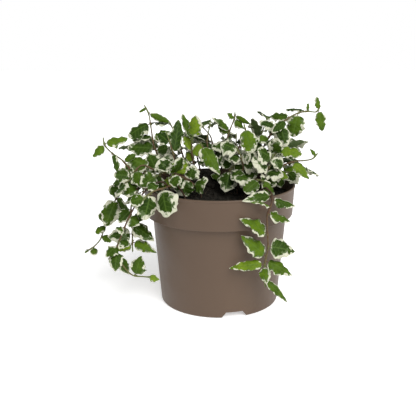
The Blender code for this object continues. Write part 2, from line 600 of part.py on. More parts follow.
class Leaf:
    """One blade on its stalk: where it leaves the stem, its tip, facing, width and habit."""

    def __init__(self, base, tip, facing, width, habit):
        self.base = base
        self.tip = tip
        self.facing = facing
        self.width = width
        self.habit = habit

    @property
    def length(self):
        return (self.tip - self.base).length

    def frame(self, along):
        """Centre, side and normal of the blade at this share of its length."""
        middle = (self.base + self.tip) / 2 + self.facing * self.length * self.habit.arch
        centre = (
            self.base * (1 - along) ** 2 + middle * 2 * along * (1 - along) + self.tip * along ** 2
        )
        forward = ((middle - self.base) * (1 - along) + (self.tip - middle) * along).normalized()
        side = forward.cross(self.facing).normalized()
        return centre, side, side.cross(forward)

    def point(self, across, along):
        """A point of the blade's middle surface: across runs from -1 to 1, along from 0 to 1."""
        centre, side, normal = self.frame(along)
        blade = (along - STALK_SHARE) / (1 - STALK_SHARE)
        if blade <= 0:
            return centre + side * across * STALK_HALF_WIDTH
        half = max(self.half_width(across, blade), TIP_HALF_WIDTH)
        return centre + side * across * half + normal * half * self.rise(across, blade)

    def outline(self, blade):
        """Half width against the widest: a quick swell from the stalk, then a taper to the tip."""
        taper = self.habit.taper
        widest = BASE_SWELL / (BASE_SWELL + taper)
        return (blade / widest) ** BASE_SWELL * ((1 - blade) / (1 - widest)) ** taper

    def half_width(self, across, blade):
        return self.outline(blade) * self.width / 2 * (1 + self.habit.lean * across)

    def rise(self, across, blade):
        """Height over the midrib against the half width: the edges fall and wave."""
        wave = sin(blade * WAVE_TURN + across * WAVE_SHIFT + self.habit.phase)
        return EDGE_WAVE * across ** 2 * wave - self.habit.fall * abs(across) ** 1.5

    def rows(self):
        return SHORT_LEAF_ROWS if self.length < SHORT_LEAF else LEAF_ROWS

    def row_corners(self, row):
        """Left, middle and right corner of this row: the stalk's two rows are flat across."""
        along = self.rows()[row]
        left, middle, right = (self.point(across, along) for across in (-1, 0, 1))
        return left, (left + right) / 2 if row < 2 else middle, right

    def slab(self, thickness, first_row=0):
        """Corners and faces of the blade at this thickness, for measuring clearances."""
        rows = range(first_row, len(self.rows()))
        corners = []
        for lift in (thickness / 2, -thickness / 2):
            for row in rows:
                normal = self.frame(self.rows()[row])[2]
                corners += [corner + normal * lift for corner in self.row_corners(row)]
        size = len(rows) * 3
        faces = []
        for r in range(len(rows) - 1):
            for c in range(2):
                a = r * 3 + c
                faces += [(a, a + 1, a + 4, a + 3), (size + a, size + a + 3, size + a + 4, size + a + 1)]
            a, b = r * 3, r * 3 + 2
            faces += [(a, a + 3, size + a + 3, size + a), (b, size + b, size + b + 3, b + 3)]
        return corners, faces


def leaf_mesh(name, group, leaf):
    """The blade as an open grid bent to its shape and given its thickness by Solidify.

    The stalk's two rows have no middle corner, and the last row is one corner, the tip.
    """
    rows = leaf.rows()
    bm = bmesh.new()
    bmesh.ops.create_grid(bm, x_segments=2, y_segments=len(rows) - 1, size=1)
    at = {}
    for vertex in bm.verts:
        across = round(vertex.co.x)
        row = round((vertex.co.y + 1) / 2 * (len(rows) - 1))
        at[across, row] = vertex
        vertex.co = leaf.point(across, rows[row])
    last = len(rows) - 1
    welds = {at[0, 0]: at[-1, 0], at[0, 1]: at[-1, 1], at[-1, last]: at[0, last], at[1, last]: at[0, last]}
    bmesh.ops.weld_verts(bm, targetmap=welds)
    foot = at[1, 0]
    bmesh.ops.triangulate(bm, faces=[f for f in bm.faces if foot not in f.verts])
    mesh = bpy.data.meshes.new(name)
    bm.to_mesh(mesh)
    bm.free()
    made = object_from(name, group, mesh)
    thicken = made.modifiers.new("thickness", "SOLIDIFY")
    thicken.thickness = LEAF_THICKNESS
    thicken.offset = 0
    return made


class Crowd:
    """What is already in place, as boxes and trees to measure new leaves against."""

    def __init__(self):
        self.things = []

    def add(self, corners, faces, owner=None, is_stem=False):
        low = [min(c[i] for c in corners) for i in range(3)]
        high = [max(c[i] for c in corners) for i in range(3)]
        tree = BVHTree.FromPolygons([tuple(c) for c in corners], faces)
        self.things.append((low, high, tree, owner, is_stem))

    def add_object(self, thing, owner=None, is_stem=False):
        graph = bpy.context.evaluated_depsgraph_get()
        mesh = bpy.data.meshes.new_from_object(thing.evaluated_get(graph))
        corners = [thing.matrix_world @ v.co for v in mesh.vertices]
        self.add(corners, [tuple(p.vertices) for p in mesh.polygons], owner, is_stem)
        bpy.data.meshes.remove(mesh)

    def touches(self, leaf, owner):
        """Whether the leaf, with its clearance, meets anything but its own stem at its stalk."""
        whole = leaf.slab(LEAF_THICKNESS + 2 * CLEARANCE)
        if min(c.z for c in whole[0]) < FLOOR_GAP:
            return True
        low = [min(c[i] for c in whole[0]) for i in range(3)]
        high = [max(c[i] for c in whole[0]) for i in range(3)]
        near = [
            t for t in self.things if all(t[0][i] <= high[i] and t[1][i] >= low[i] for i in range(3))
        ]
        if not near:
            return False
        tree = BVHTree.FromPolygons([tuple(c) for c in whole[0]], whole[1])
        blade = leaf.slab(LEAF_THICKNESS + 2 * CLEARANCE, 1)
        blade_tree = BVHTree.FromPolygons([tuple(c) for c in blade[0]], blade[1])
        return any(
            (blade_tree if t[4] and t[3] == owner else tree).overlap(t[2]) for t in near
        )


# Turns tried in order, in degrees: lift of the blade, swing about the facing, roll; then its size
BENDS = (
    (0, 0, 0), (10, 0, 0), (-10, 0, 0), (0, 10, 0), (0, -10, 0), (18, 0, 0), (-18, 0, 0),
    (0, 0, 20), (0, 0, -20), (12, 12, 0), (12, -12, 0), (-12, 12, 0), (-12, -12, 0), (28, 0, 0),
    (-28, 0, 0), (0, 22, 15), (0, -22, -15), (0, 0, 40), (0, 0, -40), (22, 22, 20), (22, -22, -20),
    (-22, 22, 20), (-22, -22, -20), (40, 0, 0), (-40, 0, 0), (0, 45, 0), (0, -45, 0), (40, 40, 0),
    (40, -40, 0), (60, 0, 20), (-60, 0, 20), (60, 60, 0), (60, -60, 0),
)
SHRINKS = (1, 0.86, 0.72)
SLIDES = (0, -3, 3, -6, 6, -9, 9, -12, 12)


def bent(leaf, bend, shrink):
    lift, swing, roll = (radians(angle) for angle in bend)
    reach = leaf.tip - leaf.base
    side = reach.cross(leaf.facing).normalized()
    turn = Quaternion(leaf.facing, swing) @ Quaternion(side, lift)
    new_reach = turn @ reach * shrink
    facing = Quaternion(new_reach.normalized(), roll) @ (turn @ leaf.facing)
    width = leaf.width * shrink
    return Leaf(leaf.base, leaf.base + new_reach, facing.normalized(), width, leaf.habit)


def bent_copies(leaf):
    """The leaf itself, then bent more and more, then the same again made smaller."""
    for shrink in SHRINKS:
        for bend in BENDS:
            yield bent(leaf, bend, shrink)


def slid_copies(route, values, habit, turn):
    """A seen leaf, then with its tip slid along the line of sight, then bent."""
    for slide in SLIDES:
        yield seen_leaf(route, habit, turn, *values, slide)
    yield from bent_copies(seen_leaf(route, habit, turn, *values))


def settle(copies, owner, crowd):
    """The first of the copies that clears what is around it, or None where none does."""
    for tried in copies:
        if not crowd.touches(tried, owner):
            return tried
    return None


def square_to(reach, facing):
    """The facing made square to the leaf's reach."""
    ahead = reach.normalized()
    return (facing - ahead * facing.dot(ahead)).normalized()


def nearest_on(route, across, up):
    """The point of the route that the eye sees nearest (across, up)."""
    best = None
    for i in range(len(route) - 1):
        for k in range(6):
            point = route[i].lerp(route[i + 1], k / 6)
            share = -EYE.y / (point.y - EYE.y)
            seen = EYE + (point - EYE) * share
            miss = (seen.x - across * MM) ** 2 + (seen.z - up * MM) ** 2
            if best is None or miss < best[0]:
                best = (miss, point)
    return best[1]


def seen_leaf(route, habit, turn, across, up, tip_across, tip_up, depth, width, roll, slide=0):
    base = nearest_on(route, across, up)
    tip = sight(tip_across, tip_up, base.y / MM + depth + slide)
    reach = tip - base
    facing = square_to(reach, FACING)
    facing = Quaternion(reach.normalized(), radians(roll + turn)) @ facing
    return Leaf(base, tip, facing, width * MM, habit)


def inner_leaves(route, draw):
    """Leaves placed in turn on both sides of a stem, every few millimetres up to its tip."""
    leaves = []
    travelled = 0
    due = INNER_FIRST_LEAF
    side_sign = 1
    for i in range(1, len(route)):
        stretch = route[i] - route[i - 1]
        travelled += stretch.length
        if travelled < due:
            continue
        due += INNER_LEAF_STEP
        side_sign = -side_sign
        ahead = stretch.normalized()
        out = Vector((route[i].x, route[i].y, 0)).normalized()
        side = ahead.cross(UP + out * INNER_SIDE_TILT).normalized() * side_sign
        length = draw.uniform(*INNER_LEAF_LENGTHS)
        droop = Vector((0, 0, draw.uniform(*INNER_LEAF_DROOPS)))
        reach = side + ahead * INNER_LEAF_AHEAD + out * INNER_LEAF_OUTWARD + droop
        reach = reach.normalized() * length
        facing = square_to(reach, UP + out * INNER_LEAF_TILT)
        width = length * draw.uniform(*INNER_LEAF_WIDTH_SHARE)
        habit = drawn_habit(draw, False)
        leaves.append(Leaf(route[i].copy(), route[i] + reach, facing, width, habit))
    ahead = (route[-1] - route[-2]).normalized()
    tip_reach = ahead * draw.uniform(*INNER_LEAF_LENGTHS) * INNER_TIP_LENGTH_SHARE
    facing = square_to(tip_reach, UP + out * INNER_LEAF_TILT)
    width = tip_reach.length * INNER_TIP_WIDTH_SHARE
    habit = drawn_habit(draw, True)
    leaves.append(Leaf(route[-1].copy(), route[-1] + tip_reach, facing, width, habit))
    return leaves


def stem_routes():
    """Every stem's smooth route from its foot in the soil to its tip, and its root's heading."""
    routes = {}
    for name, (root, points, _) in SEEN_STEMS.items():
        onward = [sight(*p) for p in points]
        routes[name] = (root, onward)
    for name, (root, points) in INNER_STEMS.items():
        routes[name] = (root, [Vector(p) * MM for p in points])
    made = {}
    for name, (root, onward) in routes.items():
        foot, ground, heading = root_points(root, onward[0])
        above = ground + heading * ROOT_RISE
        made[name] = ([foot] + smooth_route([ground, above] + onward, STEM_STEP), ground, heading)
    return made


def grow(group, made_of, crowd, routes):
    """Every stem, then the leaves seen in front, then those further in, each clear of the rest."""
    bpy.context.view_layer.update()
    tubes = {}
    for name, (route, _, _) in routes.items():
        tubes[name] = stem_tube(name + "_tube", group, route)
    bpy.context.view_layer.update()
    for name, tube in tubes.items():
        crowd.add_object(tube, name, is_stem=True)
    draw = random.Random(SEED)
    wanted = {}
    for name, (_, _, leaves) in SEEN_STEMS.items():
        wanted[name] = []
        for values in leaves:
            habit, turn = drawn_habit(draw, name in POINTED_STEMS), draw.uniform(*ROLLS)
            wanted[name].append(slid_copies(routes[name][0], values, habit, turn))
    for name in INNER_STEMS:
        wanted[name] = [bent_copies(leaf) for leaf in inner_leaves(routes[name][0], draw)]
    placed = {}
    for name, choices in wanted.items():
        placed[name] = []
        for copies in choices:
            kept = settle(copies, name, crowd)
            if kept:
                placed[name].append(kept)
                crowd.add(*kept.slab(LEAF_THICKNESS), owner=name)
    for name, leaves in placed.items():
        unite(name, group, made_of, tubes[name], leaves)
    return placed


def unite(name, group, made_of, tube, leaves):
    """The stem's tube with its welded caps, joined with its leaves in one body."""
    rough = finished(tube, name + "_rough", group, made_of)
    bm = bmesh.new()
    bm.from_mesh(rough.data)
    bmesh.ops.remove_doubles(bm, verts=bm.verts, dist=0.00001)
    bm.to_mesh(rough.data)
    bm.free()
    blades = collection(name + "_blades", hidden=True)
    for i, leaf in enumerate(leaves):
        leaf_mesh(f"{name}_blade_{i}", blades, leaf)
    cut(rough, "leaves", blades, "UNION")
    made = finished(rough, name, group, made_of)
    empty_collection(blades)
    made.data.shade_smooth()
    return made


def main():
    clear_scene()
    group = collection("potted_creeping_fig")
    pot = make_pot(group, material("pot_plastic", POT_COLOUR, 0.5))
    routes = stem_routes()
    roots = [(ground, heading) for _, ground, heading in routes.values()]
    soil = make_soil(group, material("potting_soil", SOIL_COLOUR, 0.95), roots)
    crowd = Crowd()
    crowd.add_object(pot)
    crowd.add_object(soil)
    return grow(group, material("fig_foliage", LEAF_COLOUR, 0.45), crowd, routes)


main()
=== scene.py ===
"""Looks of the potted creeping fig: a fine pot, crumbly soil and leafy stems with variegated leaves.

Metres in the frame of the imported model, +Z up, +X to the right in the photo. The stems' routes and
leaves repeat the construction's, so each fine stem grows where its solid is.
"""

import random
from collections import namedtuple
from math import atan2, cos, exp, floor, pi, radians, sin, sqrt

import bmesh
import bpy
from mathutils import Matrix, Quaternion, Vector, noise
from mathutils.bvhtree import BVHTree


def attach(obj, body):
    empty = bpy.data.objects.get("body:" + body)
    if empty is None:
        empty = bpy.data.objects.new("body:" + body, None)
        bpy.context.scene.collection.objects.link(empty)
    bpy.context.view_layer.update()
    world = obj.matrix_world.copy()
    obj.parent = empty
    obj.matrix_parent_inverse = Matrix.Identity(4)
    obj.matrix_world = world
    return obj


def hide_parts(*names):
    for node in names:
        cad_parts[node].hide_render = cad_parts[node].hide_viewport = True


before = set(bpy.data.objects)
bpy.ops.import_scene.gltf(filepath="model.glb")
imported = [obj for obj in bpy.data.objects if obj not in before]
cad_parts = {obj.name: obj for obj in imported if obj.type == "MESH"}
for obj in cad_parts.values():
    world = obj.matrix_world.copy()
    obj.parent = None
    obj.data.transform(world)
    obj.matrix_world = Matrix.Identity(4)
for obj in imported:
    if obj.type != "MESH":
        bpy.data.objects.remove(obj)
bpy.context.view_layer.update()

MM = 0.001

# Pot
POT_HEIGHT = 95 * MM
RIM_RADIUS = 60 * MM
LIP_HEIGHT = 1.4 * MM
LIP_SETBACK = 0.5 * MM
LIP_EDGE = 0.4 * MM
BAND_HEIGHT = 23.5 * MM
BAND_FOOT_RADIUS = 58.4 * MM
BODY_TOP_RADIUS = 53.4 * MM
BASE_RADIUS = 47.6 * MM
WALL = 1.3 * MM
FOOT_WIDTH = 2.0 * MM
FOOT_EDGE = 1 * MM
FOOT_DRAFT = 0.5 * MM
GUTTER_HEIGHT = 5 * MM
DISC_RADIUS = 30 * MM
GUTTER_SLOPE = 1.5 * MM
POT_SIDES = 36

# Openings in the foot and the raised gutter
NOTCHES = 3
FIRST_NOTCH = radians(-76)
NOTCH_FOOT_WIDTH = 20 * MM
NOTCH_TOP_WIDTH = 14 * MM
NOTCH_HEIGHT = 4.6 * MM
DRAINS = 6
DRAIN_RADIUS = 3 * MM
DRAIN_CIRCLE = 39 * MM

# Soil
SOIL_GAP = 0.5 * MM
SOIL_EDGE_HEIGHT = 86 * MM
SOIL_RINGS = (44, 30, 15)
SOIL_SIDES = 24
MOUND_HEIGHT = 13 * MM
MOUND_PLACE = (-9 * MM, 23 * MM)
MOUND_SPREAD = 12 * MM
LUMP_HEIGHT = 0.7 * MM
LUMP_SPANS = (4.3 * MM, 5.1 * MM, 7 * MM)
HOLE_SIDES = 4
HOLE_RADIUS = 2.02 * MM
HOLE_DEPTH = 10.2 * MM
HOLE_RISE = 7 * MM
ROOT_DEPTH = 9 * MM
ROOT_RISE = 4 * MM
ROOT_UPRIGHT = 1.6

# Stems and leaves
STEM_RADIUS = 0.85 * MM
STEM_TIP_RADIUS = 0.7 * MM
STEM_STEP = 10 * MM
LEAF_THICKNESS = 0.7 * MM
CLEARANCE = 0.35 * MM
STALK_HALF_WIDTH = 0.38 * MM
STALK_SHARE = 0.09
TIP_HALF_WIDTH = 0.35 * MM
SHORT_LEAF_ROWS = (0, 0.16, 0.54, 1)
LEAF_ROWS = (0, 0.13, 0.36, 0.72, 1)
SHORT_LEAF = 14 * MM
BASE_SWELL = 0.42
EDGE_WAVE = 0.16
WAVE_TURN = 9
WAVE_SHIFT = 1.4
FLOOR_GAP = 1 * MM
SEED = 11

# Each leaf's own habit is drawn between these: arch along it, fall of its edges, taper to its
# tip, how much wider one half is than the other, and its turn about its length in degrees
ARCHES = (0.05, 0.2)
EDGE_FALLS = (0.08, 0.46)
BLUNT_TAPERS = (0.48, 0.72)
POINTED_TAPERS = (0.82, 1.05)
LEANS = (-0.14, 0.14)
ROLLS = (-20, 20)
POINTED_STEMS = (
    "stem_right_trail", "stem_right_tips", "stem_rim_leaf", "stem_v_leaf", "stem_long_leaf",
    "stem_top_middle", "stem_low_left", "stem_left_trail",
)

# Routes are read along the line of sight from this eye to the upright plane through the pot's axis
EYE = Vector((0, -486.6, 203.2)) * MM
FACING = Vector((0, -0.72, 0.69))

# Each stem seen in front: its root (x, y) on the soil, then (across, up, depth) along it, then
# its leaves: (across, up) where the stalk leaves the stem, (across, up) of the tip, how far the
# tip comes behind (+) or in front (-) of the stem, the blade's width and its roll in degrees
SEEN_STEMS = {
    "stem_left_arch": (
        (-38, -3),
        ((-50, 99, -6), (-60, 102, -9), (-71, 107, -12), (-77, 113.5, -14), (-84, 118.5, -16),
         (-89.5, 124.5, -18), (-90.5, 129, -19)),
        ((-90, 125.5, -99.5, 115.5, -2, 7.5, 0), (-89.5, 126, -71.5, 130.5, 3, 9.5, 0),
         (-84, 118.5, -81, 103.5, -3, 7.5, 35), (-75, 112, -65.5, 118, 2, 5, 45),
         (-71, 107, -77.5, 85, -8, 12, 0), (-64, 103.5, -66, 88, -9, 9, 10)),
    ),
    "stem_top_left": (
        (-24, 12),
        ((-36, 102, 14), (-46, 113, 17), (-51, 124, 20), (-53, 138, 23), (-54.5, 149, 25),
         (-57, 154.5, 25)),
        ((-54.5, 150, -37.5, 142.5, 0, 6, 45), (-56.5, 153.5, -62, 150.5, 0, 2.6, 0),
         (-54, 141, -71, 131.5, -3, 13, 0), (-52, 131, -68, 128.5, -4, 7, 25),
         (-50.5, 123, -72, 123.5, -6, 15, 0), (-52, 128, -38, 135.5, 3, 9.5, 0),
         (-46, 113, -58, 113, -6, 9.5, 0), (-50, 121, -39.5, 123, -4, 11, 0)),
    ),
    "stem_dark_leaf": (
        (-21, -4),
        ((-28, 99, -5), (-34, 110, -7), (-36.5, 119, -8), (-39, 128, -8), (-41, 134, -7)),
        ((-36, 118, -31.5, 145, 1, 10.5, 0), (-38, 126, -47.5, 134.5, 0, 10, 0),
         (-36, 117, -48, 116, -8, 15, 0), (-33, 108, -43.5, 106, -8, 11, 0),
         (-31, 104, -23.5, 111.5, -3, 10, 20)),
    ),
    "stem_lime_leaf": (
        (-15, 8),
        ((-19, 106, 8), (-21.5, 118, 6), (-21.5, 128, 3), (-21, 130.5, 2)),
        ((-21, 130, -18, 148.5, 0, 12, 0), (-21.5, 129, -28.5, 149.5, 5, 6.5, 0),
         (-21.5, 119, -27.5, 132, 0, 7.5, 25), (-20, 112, -26, 120, -3, 7, 0),
         (-20.5, 116, -14, 126, 6, 9, 0)),
    ),
    "stem_long_leaf": (
        (4, 14),
        ((2, 101, 8), (-4, 110, 2), (-10, 119, -4), (-14.5, 126, -8)),
        ((-13.5, 124.5, 0.5, 101, -14, 12, 0), (-14.5, 126, -19.5, 131, -2, 9, 0),
         (-7, 114.5, -17, 111, 8, 11, 0), (2, 102, -7, 101, 3, 9, 0)),
    ),
    "stem_top_middle": (
        (10, 20),
        ((7, 106, 24), (4, 118, 28), (6, 130, 31), (9, 139, 33), (11.5, 145, 34), (12, 149, 34)),
        ((11.5, 146, 5.5, 150, -2, 6, 0), (11.5, 144.5, 19, 138, -4, 8, 0),
         (12, 148.5, 25, 141, 0, 4.5, 45), (7, 134, -1.5, 141, 3, 9, 0), (5, 126, -6, 122, -8, 12.5, 0),
         (4, 120, 14.5, 121, -8, 11.5, 0), (6, 130, 10, 130.5, -10, 7, 0),
         (8, 136, -9, 139, 6, 8, 0),
         (5.5, 112.5, -5, 112, -4, 10.5, 0)),
    ),
    "stem_right_middle": (
        (19, 6),
        ((19, 103, 3), (20.5, 117, -1), (21.5, 130, -4), (19.5, 140, -6)),
        ((19.5, 139.5, 25.5, 118.5, -9, 13, 0), (21, 124, 26.5, 112.5, -7, 11, 0),
         (20, 114, 4, 114.5, -9, 11, 0), (19.5, 108, 8.5, 105, -12, 11.5, 0),
         (21, 132, 31.5, 129, 2, 11.5, 0),
         (19, 104, 30, 102, -11, 12.5, 0)),
    ),
    "stem_top_right": (
        (25, 12),
        ((29, 108, 13), (34, 122, 16), (39.5, 132.5, 18), (46, 139.5, 20), (54, 146.5, 22),
         (61, 150, 24), (68, 151.3, 25), (74.5, 150.8, 25), (76.7, 153, 25)),
        ((76.7, 153, 74.5, 162.5, 0, 5.5, 0), (76.2, 152, 82.5, 136, -3, 9, 0),
         (61, 150, 57, 131.5, -6, 15, 0), (66.5, 151.2, 51, 152.5, 4, 5.5, 40),
         (68, 151.3, 68.3, 157.5, 0, 2.6, 0), (54, 146.5, 39, 147.5, 3, 9.5, 0),
         (44, 138, 31, 143.5, 2, 10.5, 0), (47, 140.5, 52.5, 123.5, -7, 13.5, 0),
         (40, 133, 48.5, 142, 5, 6.5, 0), (36, 126, 42, 129.5, -5, 9, 0), (34, 121, 26, 127, 0, 9, 0),
         (32, 115, 41, 117.5, -6, 10, 0),
         (44, 138, 52.5, 134, -5, 9.5, 0), (51, 143.5, 41, 134.5, -7, 8, 0),
         (47, 140, 43, 122, -10, 10.5, 0), (38, 131, 30.5, 125, -6, 8, 0)),
    ),
    "stem_right_tips": (
        (36, -2),
        ((42, 101, -7), (50, 108.5, -12), (59, 112, -16), (67, 112.8, -19), (73, 114, -21),
         (76, 117, -21)),
        ((75.5, 116.5, 71, 122, 0, 3.2, 0),
         (57, 111.5, 71.5, 97.5, -5, 8, 0), (58, 112, 70.5, 116, -3, 10, 0),
         (51, 109, 40, 112.5, 0, 10.5, 0), (47, 106, 34, 105, -7, 10.5, 0), (44, 103, 55, 98.5, -6, 8, 0)),
    ),
    "stem_right_bright": (
        (29, -2),
        ((33, 103, -2), (39, 112, -2), (44, 118, -3), (46.5, 121.5, -3)),
        ((46, 121, 65, 117.5, -2, 11, 0), (42, 116, 44.5, 130.5, 4, 11, 0), (36, 108, 26.5, 113, -6, 11, 0),
         (40, 113, 50, 112, -6, 10, 0),
         (44.5, 118.5, 54, 127, 3, 10.5, 0)),
    ),
    "stem_rim_leaf": (
        (42, 8),
        ((47, 99.5, 6), (51, 103, 4), (54, 103.5, 2)),
        ((53.5, 103.5, 63, 89, -8, 13, 0), (49, 101.5, 38, 97.5, -10, 11, 0),
         (52, 103.2, 60.5, 108, 8, 11.5, 0), (47, 99.5, 49, 90.5, -12, 9, 20)),
    ),
    "stem_right_trail": (
        (27, -22),
        ((36, 90.5, -34), (40, 88, -42), (41.8, 85.4, -48), (42.2, 80, -52.5), (41, 75, -54.5),
         (38.7, 68, -55), (38.7, 60, -55), (39.3, 50, -55), (39.8, 40, -55), (37.8, 29, -55),
         (37.2, 20, -55), (37.2, 12, -54.5), (38, 8, -54)),
        ((41.8, 84.5, 18, 79.5, -8, 8.5, 0), (42.2, 81, 61.5, 75.5, 5, 7.5, 0),
         (41, 75, 24, 79, -5, 6, 25), (38.7, 69, 57.5, 62.5, 3, 9.5, 0),
         (39.3, 51, 16, 65, -3, 13.5, 0), (39.8, 42.5, 62, 37, 3, 15, 0),
         (38.4, 32, 17.5, 51, -4, 13, 0), (37.8, 28.5, 60.5, 16, 0, 10.5, 0),
         (37.6, 26, 8, 22.5, -1, 8, 0), (37.3, 24, 33, 10, -11, 8.5, 0),
         (37.2, 13, 57, -8, 0, 6, 0)),
    ),
    "stem_front_right": (
        (20, -16),
        ((23, 95, -20), (29, 97.5, -25), (35, 96, -30)),
        ((26, 96.5, 11.5, 99, -4, 11.5, 0), (31, 97.5, 20, 87, -9, 11, 0), (35, 96, 44, 85, -6, 10, 0),
         (33, 97, 45, 99, 4, 10.5, 0)),
    ),
    "stem_v_leaf": (
        (7, 2),
        ((8, 99, 0), (8.5, 105, -2), (12, 109, -2)),
        ((8.5, 105, 4.5, 87, -12, 16, 0), (11, 108, 21.5, 106.5, -7, 11, 0),
         (8.3, 102.5, -2, 111, 9, 9, 0),
         (9.5, 107, 3, 117, 2, 12, 0)),
    ),
    "stem_front_left": (
        (-26, -22),
        ((-35, 93.5, -31), (-44, 90.5, -42), (-51, 88.5, -46), (-57, 85, -49), (-61, 80.5, -51)),
        ((-44.5, 90, -41.5, 66.5, -12, 16.5, 0), (-55, 86.5, -61, 64, -7, 17, -20),
         (-49, 89.5, -57, 95, 3, 9.5, 0), (-60, 82, -72, 79, 0, 9.5, 0),
         (-39, 92.5, -31, 100, 3, 10.5, 0)),
    ),
    "stem_left_bright": (
        (-14, -16),
        ((-23, 96, -19), (-31, 100.5, -22), (-38, 103, -25), (-45, 103, -28), (-50, 100, -31)),
        ((-32, 101, -44.5, 90.5, -5, 15, 0), (-27, 98.5, -28, 83.5, -6, 16, 0),
         (-24, 96.5, -19.5, 109, 2, 12.5, 0), (-34, 101.5, -28.5, 114.5, 3, 13, 0),
         (-40, 103, -47.5, 113.5, 2, 13, 0), (-43, 103, -59, 100, -2, 13, 0),
         (-47, 102, -51.5, 87, -5, 13.5, 0), (-50, 100, -63, 92.5, -3, 13, 0),
         (-36, 102.5, -37, 127, 7, 14.5, 0), (-29, 99.5, -37.5, 85, -10, 14.5, 0),
         (-20, 94, -12.5, 86.5, -8, 14.5, 0)),
    ),
    "stem_left_low": (
        (-30, -10),
        ((-42, 100, -12), (-53, 106, -14), (-61, 109, -15), (-68, 103, -17), (-74, 95, -19)),
        ((-44, 101, -38.5, 118.5, 2, 13, 0), (-49, 104, -55.5, 118.5, 3, 14.5, 0),
         (-55, 107, -71, 114.5, 2, 14.5, 0), (-66, 105, -61.5, 91, -5, 13, 0),
         (-70, 100, -84, 101, 2, 13, 0), (-74, 95, -69.5, 79, -4, 13, 0),
         (-70, 100, -79, 86, -9, 11, 0)),
    ),
    "stem_middle_cluster": (
        (14, -4),
        ((17, 98, -6), (19, 107, -8), (17, 116, -9), (14, 122, -8)),
        ((17.5, 100, 28, 91.5, -6, 14, 0), (18.5, 105, 9.5, 97, -6, 12.5, 0),
         (19, 110, 31.5, 109.5, -4, 14.5, 0), (17.5, 115, 27.5, 123, 1, 13, 0),
         (15, 120, 1, 126.5, 0, 15, 0),
         (18.5, 103, 30.5, 101, -10, 14, 0),
         (17.5, 113.5, 5, 117, -3, 11.5, 0)),
    ),
    "stem_right_cluster": (
        (26, -8),
        ((32, 97, -10), (37, 104, -12), (41, 110, -13), (42, 116, -12)),
        ((34, 99.5, 21, 101, -5, 14, 0), (37, 104, 50.5, 99.5, -5, 14, 0),
         (39, 107, 26, 111, -4, 15, 0),
         (42, 114, 30, 121.5, 0, 15, 0),
         (35, 101, 42.5, 89.5, -5, 10, 0)),
    ),
    "stem_left_trail": (
        (-38, -14),
        ((-50, 96, -17), (-57, 95.5, -20), (-63, 92.5, -23), (-68.5, 84, -26), (-71, 74, -28),
         (-71, 64, -29), (-70.5, 54, -29), (-71, 44, -29), (-71, 39, -29)),
        ((-70.7, 60, -53, 46, -3, 13, 0), (-70.6, 53, -91, 50, -4, 14, 0),
         (-71, 45.5, -51, 36, -3, 9, 0), (-71, 43, -85, 38.5, -4, 9, 0),
         (-71, 72, -81.5, 61.5, -4, 10.5, 0), (-66, 88, -74, 79.5, -8, 10, 0),
         (-57, 95.5, -60, 104, 3, 8, 0), (-54, 96, -56, 85.5, -10, 9, 10),
         (-68.5, 83, -60.5, 78, -4, 10.5, 0), (-71, 66, -61.5, 64, -3, 9, 0)),
    ),
    "stem_far_left": (
        (-42, 12),
        ((-56, 101, 10), (-66, 100.5, 8), (-75, 94, 6), (-81, 85, 5), (-86, 75, 4), (-91, 64, 3),
         (-94, 55, 2), (-97, 47.5, 1), (-103, 41, 0), (-108, 38, 0)),
        ((-83, 81, -92.5, 58.5, -7, 15, 0), (-81, 85.5, -79.5, 62.5, -6, 9.5, 20),
         (-92.5, 59, -100, 52.5, -3, 7, 0),
         (-96, 49.5, -87.5, 46.5, -4, 6, 0), (-104, 40, -101.5, 34, -2, 6.5, 0),
         (-75, 94, -84.5, 94, 3, 9.5, 0), (-66, 100.5, -73.5, 110.5, 4, 10, 0),
         (-60, 101.5, -66.5, 89.5, -7, 12, 0), (-56, 101, -48.5, 113.5, 4, 12, 0),
         (-73, 96, -66.5, 84.5, -5, 12, 0), (-78.5, 89, -88.5, 88, 2, 11, 0),
         (-87, 73, -80.5, 64.5, -4, 9.5, 0), (-89, 68, -97.5, 66, 2, 9.5, 0),
         (-107, 38, -110, 36, 0, 2.6, 0)),
    ),
    "stem_low_left": (
        (-32, -26),
        ((-45, 95.5, -32), (-54, 93, -37), (-61, 86, -40.5), (-67.5, 76, -43), (-74, 64, -43),
         (-80, 50, -42), (-84, 40, -41), (-84, 33, -40), (-80, 26, -40), (-72.5, 17, -40),
         (-63, 15.3, -40), (-57, 15, -40)),
        ((-84, 38, -86, 19.5, -4, 11, 0), (-83.5, 32, -74.5, 17, -5, 9.5, 15),
         (-69.5, 16.5, -64, 33.5, -3, 12.5, 0), (-58, 15, -49.5, 12.5, 0, 6, 0),
         (-84, 41, -93.5, 32.5, 0, 9.5, 0), (-77, 57, -84.5, 56, -4, 9.5, 0),
         (-64, 81, -56.5, 72.5, -5, 11, 0), (-73, 66, -64.5, 59.5, -3, 11, 0),
         (-81, 47, -73.5, 42, -4, 9.5, 0)),
    ),
}

